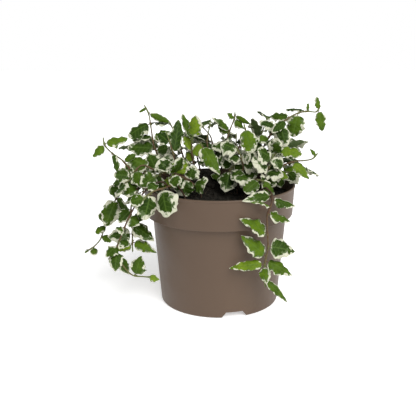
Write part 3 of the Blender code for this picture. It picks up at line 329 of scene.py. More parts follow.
# Each stem further in or behind: its root (x, y) on the soil, then (x, y, z) along it
INNER_STEMS = {
    "stem_inner_1": ((-46, -9), ((-54, -14, 100), (-63, -20, 104), (-71, -24, 100))),
    "stem_inner_3": ((-34, 24), ((-44, 28, 110), (-56, 34, 120), (-68, 38, 118))),
    "stem_inner_5": ((34, 22), ((42, 26, 108), (52, 32, 118), (62, 36, 118))),
    "stem_inner_6": ((28, 26), ((32, 32, 114), (36, 38, 130), (40, 42, 140))),
    "stem_inner_7": ((-2, 32), ((-4, 38, 112), (-8, 46, 126), (-14, 52, 132))),
    "stem_inner_8": ((14, 34), ((16, 44, 110), (18, 58, 116), (20, 70, 106), (21, 76, 90))),
    "stem_inner_9": ((-16, 34), ((-20, 46, 110), (-26, 60, 112), (-30, 70, 98), (-32, 74, 80),
                                (-33, 75, 62))),
    "stem_inner_10": ((-26, 20), ((-30, 24, 112), (-34, 26, 126), (-40, 26, 138))),
    "stem_inner_11": ((40, 18), ((50, 24, 103), (59, 29, 105), (65, 33, 101))),
    "stem_inner_12": ((26, 36), ((34, 46, 108), (44, 58, 108), (50, 66, 94), (52, 68, 78))),
    "stem_inner_13": ((2, 42), ((2, 52, 106), (2, 64, 110), (3, 74, 102))),
    "stem_inner_14": ((-38, 34), ((-48, 42, 106), (-60, 50, 104), (-66, 56, 90), (-68, 58, 74))),
    "stem_inner_15": ((14, 26), ((14, 28, 112), (14, 30, 120), (14, 31, 128))),
    "stem_inner_17": ((-8, 22), ((-8, 22, 110), (-10, 24, 124), (-8, 26, 136))),
}
INNER_FIRST_LEAF = 14 * MM
INNER_LEAF_STEP = 10.5 * MM
INNER_LEAF_LENGTHS = (18 * MM, 25 * MM)
INNER_LEAF_WIDTH_SHARE = (0.5, 0.66)
INNER_LEAF_DROOPS = (-0.5, 0.25)
INNER_LEAF_TILT = 0.7
INNER_SIDE_TILT = 0.4
INNER_LEAF_AHEAD = 0.55
INNER_LEAF_OUTWARD = 0.25
INNER_TIP_LENGTH_SHARE = 0.8
INNER_TIP_WIDTH_SHARE = 0.45
UP = Vector((0, 0, 1))

def object_from(name, group, mesh):
    made = bpy.data.objects.new(name, mesh)
    group.objects.link(made)
    return made


def body_radius(height):
    """Outer radius of the tapered body under the band."""
    share = height / (POT_HEIGHT - BAND_HEIGHT)
    return BASE_RADIUS + (BODY_TOP_RADIUS - BASE_RADIUS) * share


def soil_height(x, y):
    """Height of the soil's surface: nearly level, with small lumps and one mound behind."""
    away = (x - MOUND_PLACE[0]) ** 2 + (y - MOUND_PLACE[1]) ** 2
    mound = MOUND_HEIGHT * 2.718 ** (-away / (2 * MOUND_SPREAD ** 2))
    lumps = sin(x / LUMP_SPANS[0]) * cos(y / LUMP_SPANS[1]) + sin((x + y) / LUMP_SPANS[2])
    return SOIL_EDGE_HEIGHT + mound + LUMP_HEIGHT * lumps


def sight(across, up, depth):
    """The point at this depth that the eye sees at (across, up) on the plane through the axis."""
    on_plane = Vector((across, 0, up)) * MM
    return EYE + (on_plane - EYE) * (depth * MM - EYE.y) / -EYE.y


def smooth_route(points, step):
    """Points every step or so along a smooth curve through the given ones."""
    route = []
    last = len(points) - 1
    for i in range(last):
        before, here = points[max(i - 1, 0)], points[i]
        there, after = points[i + 1], points[min(i + 2, last)]
        pieces = max(1, round((there - here).length / step))
        for k in range(pieces):
            t = k / pieces
            pull_in = (there - before) / 2
            pull_out = (after - here) / 2
            route.append(
                here * (1 + 2 * t) * (1 - t) ** 2
                + there * t * t * (3 - 2 * t)
                + pull_in * t * (1 - t) ** 2
                - pull_out * t * t * (1 - t)
            )
    route.append(points[last].copy())
    return route


def root_points(root, onward):
    """The stem's foot in its hole, the soil's surface there, and the way that both point."""
    x, y = root[0] * MM, root[1] * MM
    ground = Vector((x, y, soil_height(x, y)))
    heading = onward - ground
    heading = (heading.normalized() + Vector((0, 0, ROOT_UPRIGHT))).normalized()
    return ground - heading * ROOT_DEPTH, ground, heading


def stem_tube(name, group, route):
    """A thin tube that tapers to its tip."""
    curve = bpy.data.curves.new(name, "CURVE")
    curve.dimensions = "3D"
    curve.bevel_depth = STEM_RADIUS
    curve.bevel_resolution = 0
    curve.use_fill_caps = True
    spline = curve.splines.new("POLY")
    spline.points.add(len(route) - 1)
    for i, point in enumerate(route):
        spline.points[i].co = (*point, 1)
        share = i / (len(route) - 1)
        spline.points[i].radius = 1 + (STEM_TIP_RADIUS / STEM_RADIUS - 1) * share
    return object_from(name, group, curve)


Habit = namedtuple("Habit", "arch fall taper lean phase")


def drawn_habit(draw, pointed):
    tapers = POINTED_TAPERS if pointed else BLUNT_TAPERS
    return Habit(
        draw.uniform(*ARCHES), draw.uniform(*EDGE_FALLS), draw.uniform(*tapers),
        draw.uniform(*LEANS), draw.uniform(0, 2 * pi),
    )


class Leaf:
    """One blade on its stalk: where it leaves the stem, its tip, facing, width and habit."""

    def __init__(self, base, tip, facing, width, habit):
        self.base = base
        self.tip = tip
        self.facing = facing
        self.width = width
        self.habit = habit

    @property
    def length(self):
        return (self.tip - self.base).length

    def frame(self, along):
        """Centre, side and normal of the blade at this share of its length."""
        middle = (self.base + self.tip) / 2 + self.facing * self.length * self.habit.arch
        centre = (
            self.base * (1 - along) ** 2 + middle * 2 * along * (1 - along) + self.tip * along ** 2
        )
        forward = ((middle - self.base) * (1 - along) + (self.tip - middle) * along).normalized()
        side = forward.cross(self.facing).normalized()
        return centre, side, side.cross(forward)

    def point(self, across, along):
        """A point of the blade's middle surface: across runs from -1 to 1, along from 0 to 1."""
        centre, side, normal = self.frame(along)
        blade = (along - STALK_SHARE) / (1 - STALK_SHARE)
        if blade <= 0:
            return centre + side * across * STALK_HALF_WIDTH
        half = max(self.half_width(across, blade), TIP_HALF_WIDTH)
        return centre + side * across * half + normal * half * self.rise(across, blade)

    def outline(self, blade):
        """Half width against the widest: a quick swell from the stalk, then a taper to the tip."""
        taper = self.habit.taper
        widest = BASE_SWELL / (BASE_SWELL + taper)
        return (blade / widest) ** BASE_SWELL * ((1 - blade) / (1 - widest)) ** taper

    def half_width(self, across, blade):
        return self.outline(blade) * self.width / 2 * (1 + self.habit.lean * across)

    def rise(self, across, blade):
        """Height over the midrib against the half width: the edges fall and wave."""
        wave = sin(blade * WAVE_TURN + across * WAVE_SHIFT + self.habit.phase)
        return EDGE_WAVE * across ** 2 * wave - self.habit.fall * abs(across) ** 1.5

    def rows(self):
        return SHORT_LEAF_ROWS if self.length < SHORT_LEAF else LEAF_ROWS

    def row_corners(self, row):
        """Left, middle and right corner of this row: the stalk's two rows are flat across."""
        along = self.rows()[row]
        left, middle, right = (self.point(across, along) for across in (-1, 0, 1))
        return left, (left + right) / 2 if row < 2 else middle, right

    def slab(self, thickness, first_row=0):
        """Corners and faces of the blade at this thickness, for measuring clearances."""
        rows = range(first_row, len(self.rows()))
        corners = []
        for lift in (thickness / 2, -thickness / 2):
            for row in rows:
                normal = self.frame(self.rows()[row])[2]
                corners += [corner + normal * lift for corner in self.row_corners(row)]
        size = len(rows) * 3
        faces = []
        for r in range(len(rows) - 1):
            for c in range(2):
                a = r * 3 + c
                faces += [(a, a + 1, a + 4, a + 3), (size + a, size + a + 3, size + a + 4, size + a + 1)]
            a, b = r * 3, r * 3 + 2
            faces += [(a, a + 3, size + a + 3, size + a), (b, size + b, size + b + 3, b + 3)]
        return corners, faces


class Crowd:
    """What is already in place, as boxes and trees to measure new leaves against."""

    def __init__(self):
        self.things = []

    def add(self, corners, faces, owner=None, is_stem=False):
        low = [min(c[i] for c in corners) for i in range(3)]
        high = [max(c[i] for c in corners) for i in range(3)]
        tree = BVHTree.FromPolygons([tuple(c) for c in corners], faces)
        self.things.append((low, high, tree, owner, is_stem))

    def add_object(self, thing, owner=None, is_stem=False):
        graph = bpy.context.evaluated_depsgraph_get()
        mesh = bpy.data.meshes.new_from_object(thing.evaluated_get(graph))
        corners = [thing.matrix_world @ v.co for v in mesh.vertices]
        self.add(corners, [tuple(p.vertices) for p in mesh.polygons], owner, is_stem)
        bpy.data.meshes.remove(mesh)

    def touches(self, leaf, owner):
        """Whether the leaf, with its clearance, meets anything but its own stem at its stalk."""
        whole = leaf.slab(LEAF_THICKNESS + 2 * CLEARANCE)
        if min(c.z for c in whole[0]) < FLOOR_GAP:
            return True
        low = [min(c[i] for c in whole[0]) for i in range(3)]
        high = [max(c[i] for c in whole[0]) for i in range(3)]
        near = [
            t for t in self.things if all(t[0][i] <= high[i] and t[1][i] >= low[i] for i in range(3))
        ]
        if not near:
            return False
        tree = BVHTree.FromPolygons([tuple(c) for c in whole[0]], whole[1])
        blade = leaf.slab(LEAF_THICKNESS + 2 * CLEARANCE, 1)
        blade_tree = BVHTree.FromPolygons([tuple(c) for c in blade[0]], blade[1])
        return any(
            (blade_tree if t[4] and t[3] == owner else tree).overlap(t[2]) for t in near
        )


# Turns tried in order, in degrees: lift of the blade, swing about the facing, roll; then its size
BENDS = (
    (0, 0, 0), (10, 0, 0), (-10, 0, 0), (0, 10, 0), (0, -10, 0), (18, 0, 0), (-18, 0, 0),
    (0, 0, 20), (0, 0, -20), (12, 12, 0), (12, -12, 0), (-12, 12, 0), (-12, -12, 0), (28, 0, 0),
    (-28, 0, 0), (0, 22, 15), (0, -22, -15), (0, 0, 40), (0, 0, -40), (22, 22, 20), (22, -22, -20),
    (-22, 22, 20), (-22, -22, -20), (40, 0, 0), (-40, 0, 0), (0, 45, 0), (0, -45, 0), (40, 40, 0),
    (40, -40, 0), (60, 0, 20), (-60, 0, 20), (60, 60, 0), (60, -60, 0),
)
SHRINKS = (1, 0.86, 0.72)
SLIDES = (0, -3, 3, -6, 6, -9, 9, -12, 12)


def bent(leaf, bend, shrink):
    lift, swing, roll = (radians(angle) for angle in bend)
    reach = leaf.tip - leaf.base
    side = reach.cross(leaf.facing).normalized()
    turn = Quaternion(leaf.facing, swing) @ Quaternion(side, lift)
    new_reach = turn @ reach * shrink
    facing = Quaternion(new_reach.normalized(), roll) @ (turn @ leaf.facing)
    width = leaf.width * shrink
    return Leaf(leaf.base, leaf.base + new_reach, facing.normalized(), width, leaf.habit)


def bent_copies(leaf):
    """The leaf itself, then bent more and more, then the same again made smaller."""
    for shrink in SHRINKS:
        for bend in BENDS:
            yield bent(leaf, bend, shrink)


def slid_copies(route, values, habit, turn):
    """A seen leaf, then with its tip slid along the line of sight, then bent."""
    for slide in SLIDES:
        yield seen_leaf(route, habit, turn, *values, slide)
    yield from bent_copies(seen_leaf(route, habit, turn, *values))


def settle(copies, owner, crowd):
    """The first of the copies that clears what is around it, or None where none does."""
    for tried in copies:
        if not crowd.touches(tried, owner):
            return tried
    return None


def square_to(reach, facing):
    """The facing made square to the leaf's reach."""
    ahead = reach.normalized()
    return (facing - ahead * facing.dot(ahead)).normalized()


def nearest_on(route, across, up):
    """The point of the route that the eye sees nearest (across, up)."""
    best = None
    for i in range(len(route) - 1):
        for k in range(6):
            point = route[i].lerp(route[i + 1], k / 6)
            share = -EYE.y / (point.y - EYE.y)
            seen = EYE + (point - EYE) * share
            miss = (seen.x - across * MM) ** 2 + (seen.z - up * MM) ** 2
            if best is None or miss < best[0]:
                best = (miss, point)
    return best[1]


def seen_leaf(route, habit, turn, across, up, tip_across, tip_up, depth, width, roll, slide=0):
    base = nearest_on(route, across, up)
    tip = sight(tip_across, tip_up, base.y / MM + depth + slide)
    reach = tip - base
    facing = square_to(reach, FACING)
    facing = Quaternion(reach.normalized(), radians(roll + turn)) @ facing
    return Leaf(base, tip, facing, width * MM, habit)


def inner_leaves(route, draw):
    """Leaves placed in turn on both sides of a stem, every few millimetres up to its tip."""
    leaves = []
    travelled = 0
    due = INNER_FIRST_LEAF
    side_sign = 1
    for i in range(1, len(route)):
        stretch = route[i] - route[i - 1]
        travelled += stretch.length
        if travelled < due:
            continue
        due += INNER_LEAF_STEP
        side_sign = -side_sign
        ahead = stretch.normalized()
        out = Vector((route[i].x, route[i].y, 0)).normalized()
        side = ahead.cross(UP + out * INNER_SIDE_TILT).normalized() * side_sign
        length = draw.uniform(*INNER_LEAF_LENGTHS)
        droop = Vector((0, 0, draw.uniform(*INNER_LEAF_DROOPS)))
        reach = side + ahead * INNER_LEAF_AHEAD + out * INNER_LEAF_OUTWARD + droop
        reach = reach.normalized() * length
        facing = square_to(reach, UP + out * INNER_LEAF_TILT)
        width = length * draw.uniform(*INNER_LEAF_WIDTH_SHARE)
        habit = drawn_habit(draw, False)
        leaves.append(Leaf(route[i].copy(), route[i] + reach, facing, width, habit))
    ahead = (route[-1] - route[-2]).normalized()
    tip_reach = ahead * draw.uniform(*INNER_LEAF_LENGTHS) * INNER_TIP_LENGTH_SHARE
    facing = square_to(tip_reach, UP + out * INNER_LEAF_TILT)
    width = tip_reach.length * INNER_TIP_WIDTH_SHARE
    habit = drawn_habit(draw, True)
    leaves.append(Leaf(route[-1].copy(), route[-1] + tip_reach, facing, width, habit))
    return leaves


def stem_routes():
    """Every stem's smooth route from its foot in the soil to its tip, and its root's heading."""
    routes = {}
    for name, (root, points, _) in SEEN_STEMS.items():
        onward = [sight(*p) for p in points]
        routes[name] = (root, onward)
    for name, (root, points) in INNER_STEMS.items():
        routes[name] = (root, [Vector(p) * MM for p in points])
    made = {}
    for name, (root, onward) in routes.items():
        foot, ground, heading = root_points(root, onward[0])
        above = ground + heading * ROOT_RISE
        made[name] = ([foot] + smooth_route([ground, above] + onward, STEM_STEP), ground, heading)
    return made


# Fine leaves: the blade's rows and columns, its thickness and its relief
FINE_ROWS = 30
FINE_COLUMNS = (-1, -0.9, -0.72, -0.5, -0.28, -0.1, 0, 0.1, 0.28, 0.5, 0.72, 0.9, 1)
FINE_THICKNESS = 0.34 * MM
VEIN_PAIRS = 6.5
VEIN_SLANT = 1.25
QUILT = 0.34 * MM
RIB_DEPTH = 0.22 * MM
FRILL = 0.13
CRINKLE = 0.15
MARGIN_SWELL = 0.5

# Fine stems
BARK_SIDES = 10
BARK_STEP = 1.6 * MM
BARK_RADIUS = 0.72 * MM
BARK_TIP_RADIUS = 0.5 * MM
KNOT_SWELL = 0.45
KNOT_REACH = 1.5 * MM
STALK_RADIUS = 0.42 * MM
BUD_LENGTH = 2.6 * MM

# What a leaf's letter means: width of its cream edge as a share of its half width, then how far
# its green runs from dark (0) over fresh (0.5) to lime (1)
LOOKS = {
    "d": (0.10, 0.10),
    "m": (0.18, 0.33),
    "f": (0.15, 0.55),
    "w": (0.29, 0.16),
    "c": (0.47, 0.12),
    "g": (0.07, 0.50),
    "b": (0.06, 0.72),
    "l": (0.12, 0.90),
    "y": (0.08, 1.10),
}

# One letter for each leaf that is seen in front, in the order of its stem's list
SEEN_LOOKS = {
    "stem_left_arch": "gfmgmd",
    "stem_top_left": "ggddmmmm",
    "stem_dark_leaf": "ddmmm",
    "stem_lime_leaf": "lglll",
    "stem_long_leaf": "fmgm",
    "stem_top_middle": "ggggwcmmw",
    "stem_right_middle": "fwwcww",
    "stem_top_right": "ggfdgmwwmwwfwdmf",
    "stem_right_tips": "gbbwwb",
    "stem_right_bright": "bwmwm",
    "stem_rim_leaf": "wwgm",
    "stem_right_trail": "mmfffmfgbfg",
    "stem_front_right": "wmfw",
    "stem_v_leaf": "wwwc",
    "stem_front_left": "wwmmm",
    "stem_left_bright": "lwwlwwmmmwm",
    "stem_left_low": "wmmmmmm",
    "stem_middle_cluster": "wwwcwmw",
    "stem_right_cluster": "wwcwm",
    "stem_left_trail": "mwfymmmmfm",
    "stem_far_left": "mmggfmmmmmmmmg",
    "stem_low_left": "mmmlmmmmm",
}
# Letters for the leaves further in: mostly dark tones, painted shade deep inside the foliage rather than the
# leaves' own colour
INNER_SHADE_DARKENED_LOOKS = "ddmmmwwwcdd"
LOOKS_SEED = 5


class FineLeaf:
    """A blade in fine rows and columns over the same middle surface as its solid."""

    def __init__(self, leaf, letter, draw):
        self.leaf = leaf
        self.margin, self.tone = LOOKS[letter]
        self.margin *= draw.uniform(0.85, 1.2)
        self.tone += draw.uniform(-0.08, 0.08)
        self.bias = draw.uniform(-0.7, 0.7)
        self.draw = draw.random()
        self.turns = [draw.uniform(0, 2 * pi) for _ in range(4)]
        self.size = min(1, leaf.length / (20 * MM))

    def half_width(self, across, blade):
        """Half width at this share of the blade, with a finely uneven edge."""
        frill = sin(blade * 27 + self.turns[0] + 2 * across) + sin(blade * 14 + self.turns[1] - across)
        return self.leaf.half_width(across, blade) * (1 + FRILL * frill / 2)

    def edge_margin(self, across, blade):
        """Width of the cream edge here: wider on one side, and swelling along the blade."""
        swell = 1 + MARGIN_SWELL * sin(blade * 5.5 + self.turns[2] + 2 * across)
        return self.margin * (1 + self.bias * across) * swell

    def relief(self, across, blade):
        """Height of the blade over its plain surface: raised between veins, sunk along the rib."""
        vein = blade * VEIN_PAIRS - abs(across) * VEIN_SLANT + (0.25 if across > 0 else 0)
        cell = vein - floor(vein)
        fade = (1 - abs(across) ** 3) * sin(pi * blade) ** 0.4
        quilt = QUILT * sin(pi * cell) ** 0.7 * fade
        rib = -RIB_DEPTH * exp(-(across / 0.09) ** 2)
        return (quilt + rib) * self.size

    def point(self, across, blade, lift):
        along = STALK_SHARE + (1 - STALK_SHARE) * blade
        centre, side, normal = self.leaf.frame(along)
        half = self.half_width(across, blade)
        turn = self.turns[2] if across > 0 else self.turns[3]
        crinkle = CRINKLE * abs(across) ** 2.5 * sin(blade * 19 + turn)
        height = half * (self.leaf.rise(across, blade) + crinkle) + self.relief(across, blade) + lift
        return centre + side * across * half + normal * height

    def rim(self, across, blade):
        """Distance from the blade's edge in half widths."""
        lengths = (1 - STALK_SHARE) * self.leaf.length / (self.leaf.width / 2)
        from_side = (1 - abs(across)) * self.leaf.outline(blade)
        return min(from_side, (1 - blade) * lengths * 0.8, blade * lengths + 0.12)


class Sheet:
    """Corners, faces and per-corner values of one stem's leaves and bark, gathered in lists."""

    def __init__(self):
        self.corners = []
        self.faces = []
        self.slots = []
        self.values = {"rim": [], "margin": [], "tone": [], "under": [], "draw": []}
        self.flat = []

    def add(self, corner, flat, **values):
        self.corners.append(corner)
        self.flat.append(flat)
        for name, kept in self.values.items():
            kept.append(values.get(name, 0))
        return len(self.corners) - 1

    def face(self, corners, slot):
        self.faces.append(corners)
        self.slots.append(slot)

    def mesh(self, name, materials):
        mesh = bpy.data.meshes.new(name)
        mesh.from_pydata(self.corners, [], self.faces)
        for made in materials:
            mesh.materials.append(made)
        mesh.polygons.foreach_set("material_index", self.slots)
        for label, kept in self.values.items():
            mesh.attributes.new(label, "FLOAT", "POINT").data.foreach_set("value", kept)
        flat = mesh.uv_layers.new(name="leaf")
        for loop in mesh.loops:
            flat.data[loop.index].uv = self.flat[loop.vertex_index]
        mesh.shade_smooth()
        mesh.update()
        return mesh


def add_blade(sheet, fine):
    """Both faces of a blade and the narrow strip round its edge."""
    columns = len(FINE_COLUMNS)
    grids = []
    for under in (0, 1):
        lift = FINE_THICKNESS / 2 * (1 - 2 * under)
        grid = []
        for row in range(FINE_ROWS):
            blade = min(max(0.012, row / (FINE_ROWS - 1)), 0.994)
            for across in FINE_COLUMNS:
                grid.append(sheet.add(
                    fine.point(across, blade, lift),
                    (across / 2 + 0.5, blade),
                    rim=fine.rim(across, blade),
                    margin=fine.edge_margin(across, blade),
                    tone=fine.tone,
                    under=under,
                    draw=fine.draw,
                ))
        grids.append(grid)
    top, bottom = grids
    for row in range(FINE_ROWS - 1):
        for column in range(columns - 1):
            a = row * columns + column
            b = a + columns
            sheet.face((top[a], top[a + 1], top[b + 1], top[b]), 0)
            sheet.face((bottom[a], bottom[b], bottom[b + 1], bottom[a + 1]), 0)
    last = (FINE_ROWS - 1) * columns
    for row in range(FINE_ROWS - 1):
        a, b = row * columns, (row + 1) * columns
        sheet.face((top[a], top[b], bottom[b], bottom[a]), 0)
        a, b = a + columns - 1, b + columns - 1
        sheet.face((top[a], bottom[a], bottom[b], top[b]), 0)
    for column in range(columns - 1):
        a, b = column, column + 1
        sheet.face((top[a], bottom[a], bottom[b], top[b]), 0)
        a, b = last + a, last + b
        sheet.face((top[a], top[b], bottom[b], bottom[a]), 0)


def add_tube(sheet, route, radii, sides, tone, slot=1):
    """A tube round a route, closed at both ends, with its own turning frame."""
    rings = []
    side = Vector((1, 0, 0))
    travelled = 0
    for i, point in enumerate(route):
        ahead = (route[min(i + 1, len(route) - 1)] - route[max(i - 1, 0)]).normalized()
        side = (side - ahead * side.dot(ahead)).normalized()
        up = ahead.cross(side)
        travelled += (point - route[i - 1]).length if i else 0
        ring = []
        for k in range(sides):
            turn = 2 * pi * k / sides
            corner = point + (side * cos(turn) + up * sin(turn)) * radii[i]
            ring.append(sheet.add(corner, (k / sides, travelled * 100), tone=tone(i / (len(route) - 1))))
        rings.append(ring)
    for low, high in zip(rings, rings[1:]):
        for k in range(sides):
            n = (k + 1) % sides
            sheet.face((low[k], low[n], high[n], high[k]), slot)
    sheet.face(tuple(reversed(rings[0])), slot)
    sheet.face(tuple(rings[-1]), slot)


def add_stalk(sheet, fine):
    """The leaf's own stalk, from inside the stem to a little way up the underside's rib."""
    leaf = fine.leaf
    route, radii = [], []
    for i in range(7):
        along = i / 6 * (STALK_SHARE + 0.12)
        centre, _, normal = leaf.frame(along)
        sink = max(0, along - STALK_SHARE * 0.8) / 0.15
        route.append(centre - normal * sink * FINE_THICKNESS)
        radii.append(STALK_RADIUS * (1.15 - 0.75 * i / 6) * (0.6 + 0.4 * fine.size))
    add_tube(sheet, route, radii, 6, lambda share: 0.55 + 0.3 * share)


def bark_route(route):
    """The stem's own route in finer steps."""
    return smooth_route(route, BARK_STEP)


def knots_of(route, leaves):
    """How far along the fine route each leaf leaves it."""
    lengths = [0]
    for a, b in zip(route, route[1:]):
        lengths.append(lengths[-1] + (b - a).length)
    knots = []
    for leaf in leaves:
        nearest = min(range(len(route)), key=lambda i: (route[i] - leaf.base).length)
        knots.append(lengths[nearest])
    return lengths, knots


def add_bark(sheet, route, leaves, draw):
    """The woody stem, swollen at each leaf and tapering to a bud."""
    fine = bark_route(route)
    lengths, knots = knots_of(fine, leaves)
    whole = lengths[-1]
    radii = []
    for length in lengths:
        share = length / whole
        swell = sum(exp(-((length - knot) / KNOT_REACH) ** 2) for knot in knots)
        uneven = 1 + 0.06 * sin(length / MM * 1.9 + draw) + 0.04 * sin(length / MM * 0.7)
        plain = BARK_RADIUS + (BARK_TIP_RADIUS - BARK_RADIUS) * share
        radii.append(plain * (1 + KNOT_SWELL * min(1, swell)) * uneven)
    add_tube(sheet, fine, radii, BARK_SIDES, lambda share: share ** 1.5)
    add_bud(sheet, fine[-1], (fine[-1] - fine[-2]).normalized())


def add_bud(sheet, foot, heading, length=BUD_LENGTH, radius=BARK_TIP_RADIUS * 1.15):
    """A short pointed bud, widest a third of the way up."""
    profile = ((-0.15, 0.7), (0.1, 0.95), (0.33, 1), (0.6, 0.72), (0.85, 0.34), (1, 0.06))
    route = [foot + heading * length * share for share, _ in profile]
    add_tube(sheet, route, [radius * wide for _, wide in profile], 8, lambda share: 1.0)


def add_scales(sheet, route, leaves, draw):
    """A pair of little pointed scales at the foot of each leaf."""
    for leaf in leaves:
        reach = (leaf.tip - leaf.base).normalized()
        across = reach.cross(leaf.facing).normalized()
        for sign in (-1, 1):
            heading = (across * sign * 0.9 + reach * draw.uniform(0.2, 0.8) + leaf.facing * 0.3).normalized()
            length = draw.uniform(1.3, 2.1) * MM
            add_bud(sheet, leaf.base + heading * 0.4 * MM, heading, length, 0.3 * MM)


def fine_stem(name, route, leaves, letters, materials, seed):
    draw = random.Random(seed)
    sheet = Sheet()
    add_bark(sheet, route, leaves, draw.uniform(0, 6))
    for leaf, letter in zip(leaves, letters):
        fine = FineLeaf(leaf, letter, draw)
        add_blade(sheet, fine)
        add_stalk(sheet, fine)
    add_scales(sheet, route, leaves, draw)
    piece = bpy.data.objects.new(name + "_fine", sheet.mesh(name + "_fine", materials))
    bpy.context.scene.collection.objects.link(piece)
    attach(piece, "root")
    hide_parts(name)
    return piece
# Fine pot and soil
FINE_SIDES = 180
CORNER_STEPS = 5
CRUMBS = 1100
FIBRES = 130
SOIL_RING_COUNT = 46
SOIL_SPOKES = 150


def piece_from(name, mesh, node=None):
    made = bpy.data.objects.new(name, mesh)
    bpy.context.scene.collection.objects.link(made)
    if node:
        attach(made, "root")
        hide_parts(node)
    return made


def rounded(corners):
    """The profile with each (radius, height, rounding) corner turned into a short arc."""
    points = []
    last = len(corners) - 1
    for i, (r, z, rounding) in enumerate(corners):
        here = Vector((r, z))
        if i in (0, last) or rounding == 0:
            points.append(here)
            continue
        back = Vector(corners[i - 1][:2]) - here
        on = Vector(corners[i + 1][:2]) - here
        reach = min(rounding, back.length * 0.45, on.length * 0.45)
        start, end = here + back.normalized() * reach, here + on.normalized() * reach
        for k in range(CORNER_STEPS):
            t = k / (CORNER_STEPS - 1)
            points.append(start * (1 - t) ** 2 + here * 2 * t * (1 - t) + end * t * t)
    return points


def lathe(name, profile, sides):
    """A closed turned solid whose profile starts and ends on the axis."""
    corners = [(0, 0, profile[0].y)]
    rings = []
    for point in profile[1:-1]:
        rings.append(len(corners))
        for k in range(sides):
            turn = 2 * pi * k / sides
            corners.append((point.x * cos(turn), point.x * sin(turn), point.y))
    corners.append((0, 0, profile[-1].y))
    faces = []
    for k in range(sides):
        n = (k + 1) % sides
        faces.append((0, rings[0] + k, rings[0] + n))
        for low, high in zip(rings, rings[1:]):
            faces.append((low + n, low + k, high + k, high + n))
        faces.append((rings[-1] + n, rings[-1] + k, len(corners) - 1))
    mesh = bpy.data.meshes.new(name)
    mesh.from_pydata(corners, [], faces)
    mesh.update()
    bm = bmesh.new()
    bm.from_mesh(mesh)
    bmesh.ops.recalc_face_normals(bm, faces=bm.faces)
    bm.to_mesh(mesh)
    bm.free()
    return mesh


def fine_pot_profile():
    shelf = POT_HEIGHT - BAND_HEIGHT
    lip_foot = POT_HEIGHT - LIP_HEIGHT
    gutter = GUTTER_HEIGHT + WALL
    inner_foot = BASE_RADIUS - FOOT_WIDTH
    mm = MM
    return rounded((
        (0, WALL, 0),
        (DISC_RADIUS - WALL, WALL, 1 * mm),
        (DISC_RADIUS - WALL + GUTTER_SLOPE, gutter, 1 * mm),
        (body_radius(gutter) - WALL, gutter, 1 * mm),
        (body_radius(shelf) - WALL, shelf + WALL, 0.6 * mm),
        (BAND_FOOT_RADIUS - WALL, shelf + WALL, 0.8 * mm),
        (RIM_RADIUS - WALL, POT_HEIGHT, 0.5 * mm),
        (RIM_RADIUS, POT_HEIGHT, 0.55 * mm),
        (RIM_RADIUS, lip_foot, 0.3 * mm),
        (RIM_RADIUS - LIP_SETBACK, lip_foot - LIP_SETBACK, 0.4 * mm),
        (BAND_FOOT_RADIUS, shelf, 0.9 * mm),
        (body_radius(shelf), shelf, 0.8 * mm),
        (BASE_RADIUS, 0, 1.3 * mm),
        (inner_foot - 0.5 * mm, 0, 0.5 * mm),
        (inner_foot - 1 * mm, GUTTER_HEIGHT, 0.8 * mm),
        (DISC_RADIUS + GUTTER_SLOPE, GUTTER_HEIGHT, 0.8 * mm),
        (DISC_RADIUS, 0, 0.8 * mm),
        (0, 0, 0),
    ))


def block(name, corners, faces):
    mesh = bpy.data.meshes.new(name)
    mesh.from_pydata(corners, [], faces)
    bm = bmesh.new()
    bm.from_mesh(mesh)
    bmesh.ops.recalc_face_normals(bm, faces=bm.faces)
    bm.to_mesh(mesh)
    bm.free()
    made = bpy.data.objects.new(name, mesh)
    bpy.context.scene.collection.objects.link(made)
    return made


def prism(name, outline_points, low, high, matrix):
    """A straight block over a flat outline, from low to high along the third axis."""
    count = len(outline_points)
    corners = [matrix(x, y, low) for x, y in outline_points] + [matrix(x, y, high) for x, y in outline_points]
    faces = [tuple(range(count)), tuple(range(count, 2 * count))]
    faces += [(k, (k + 1) % count, count + (k + 1) % count, count + k) for k in range(count)]
    return block(name, corners, faces)


def notch(angle):
    """A cutter across the foot ring whose upper corners are rounded."""
    foot, top, radius = NOTCH_FOOT_WIDTH / 2, NOTCH_TOP_WIDTH / 2, 0.9 * MM
    shape = [(-foot - 0.6 * MM, -1 * MM), (foot + 0.6 * MM, -1 * MM), (foot, 0)]
    for sign in (1, -1):
        for k in range(4):
            turn = pi / 2 * k / 3
            out = cos(turn) if sign > 0 else sin(turn)
            rise = sin(turn) if sign > 0 else cos(turn)
            shape.append((sign * (top - radius + radius * out), NOTCH_HEIGHT - radius + radius * rise))
    shape.append((-foot, 0))

    def place(across, up, out):
        return (out * cos(angle) - across * sin(angle), out * sin(angle) + across * cos(angle), up)

    reach = 1.5 * FOOT_WIDTH + 1 * MM
    return prism("notch", shape, BASE_RADIUS - reach, BASE_RADIUS + reach, place)


def drain(angle):
    x, y = DRAIN_CIRCLE * cos(angle), DRAIN_CIRCLE * sin(angle)
    shape = [(DRAIN_RADIUS * cos(2 * pi * k / 20), DRAIN_RADIUS * sin(2 * pi * k / 20)) for k in range(20)]
    low, high = GUTTER_HEIGHT - WALL, GUTTER_HEIGHT + 2 * WALL
    return prism("drain", shape, low, high, lambda a, b, c: (x + a, y + b, c))


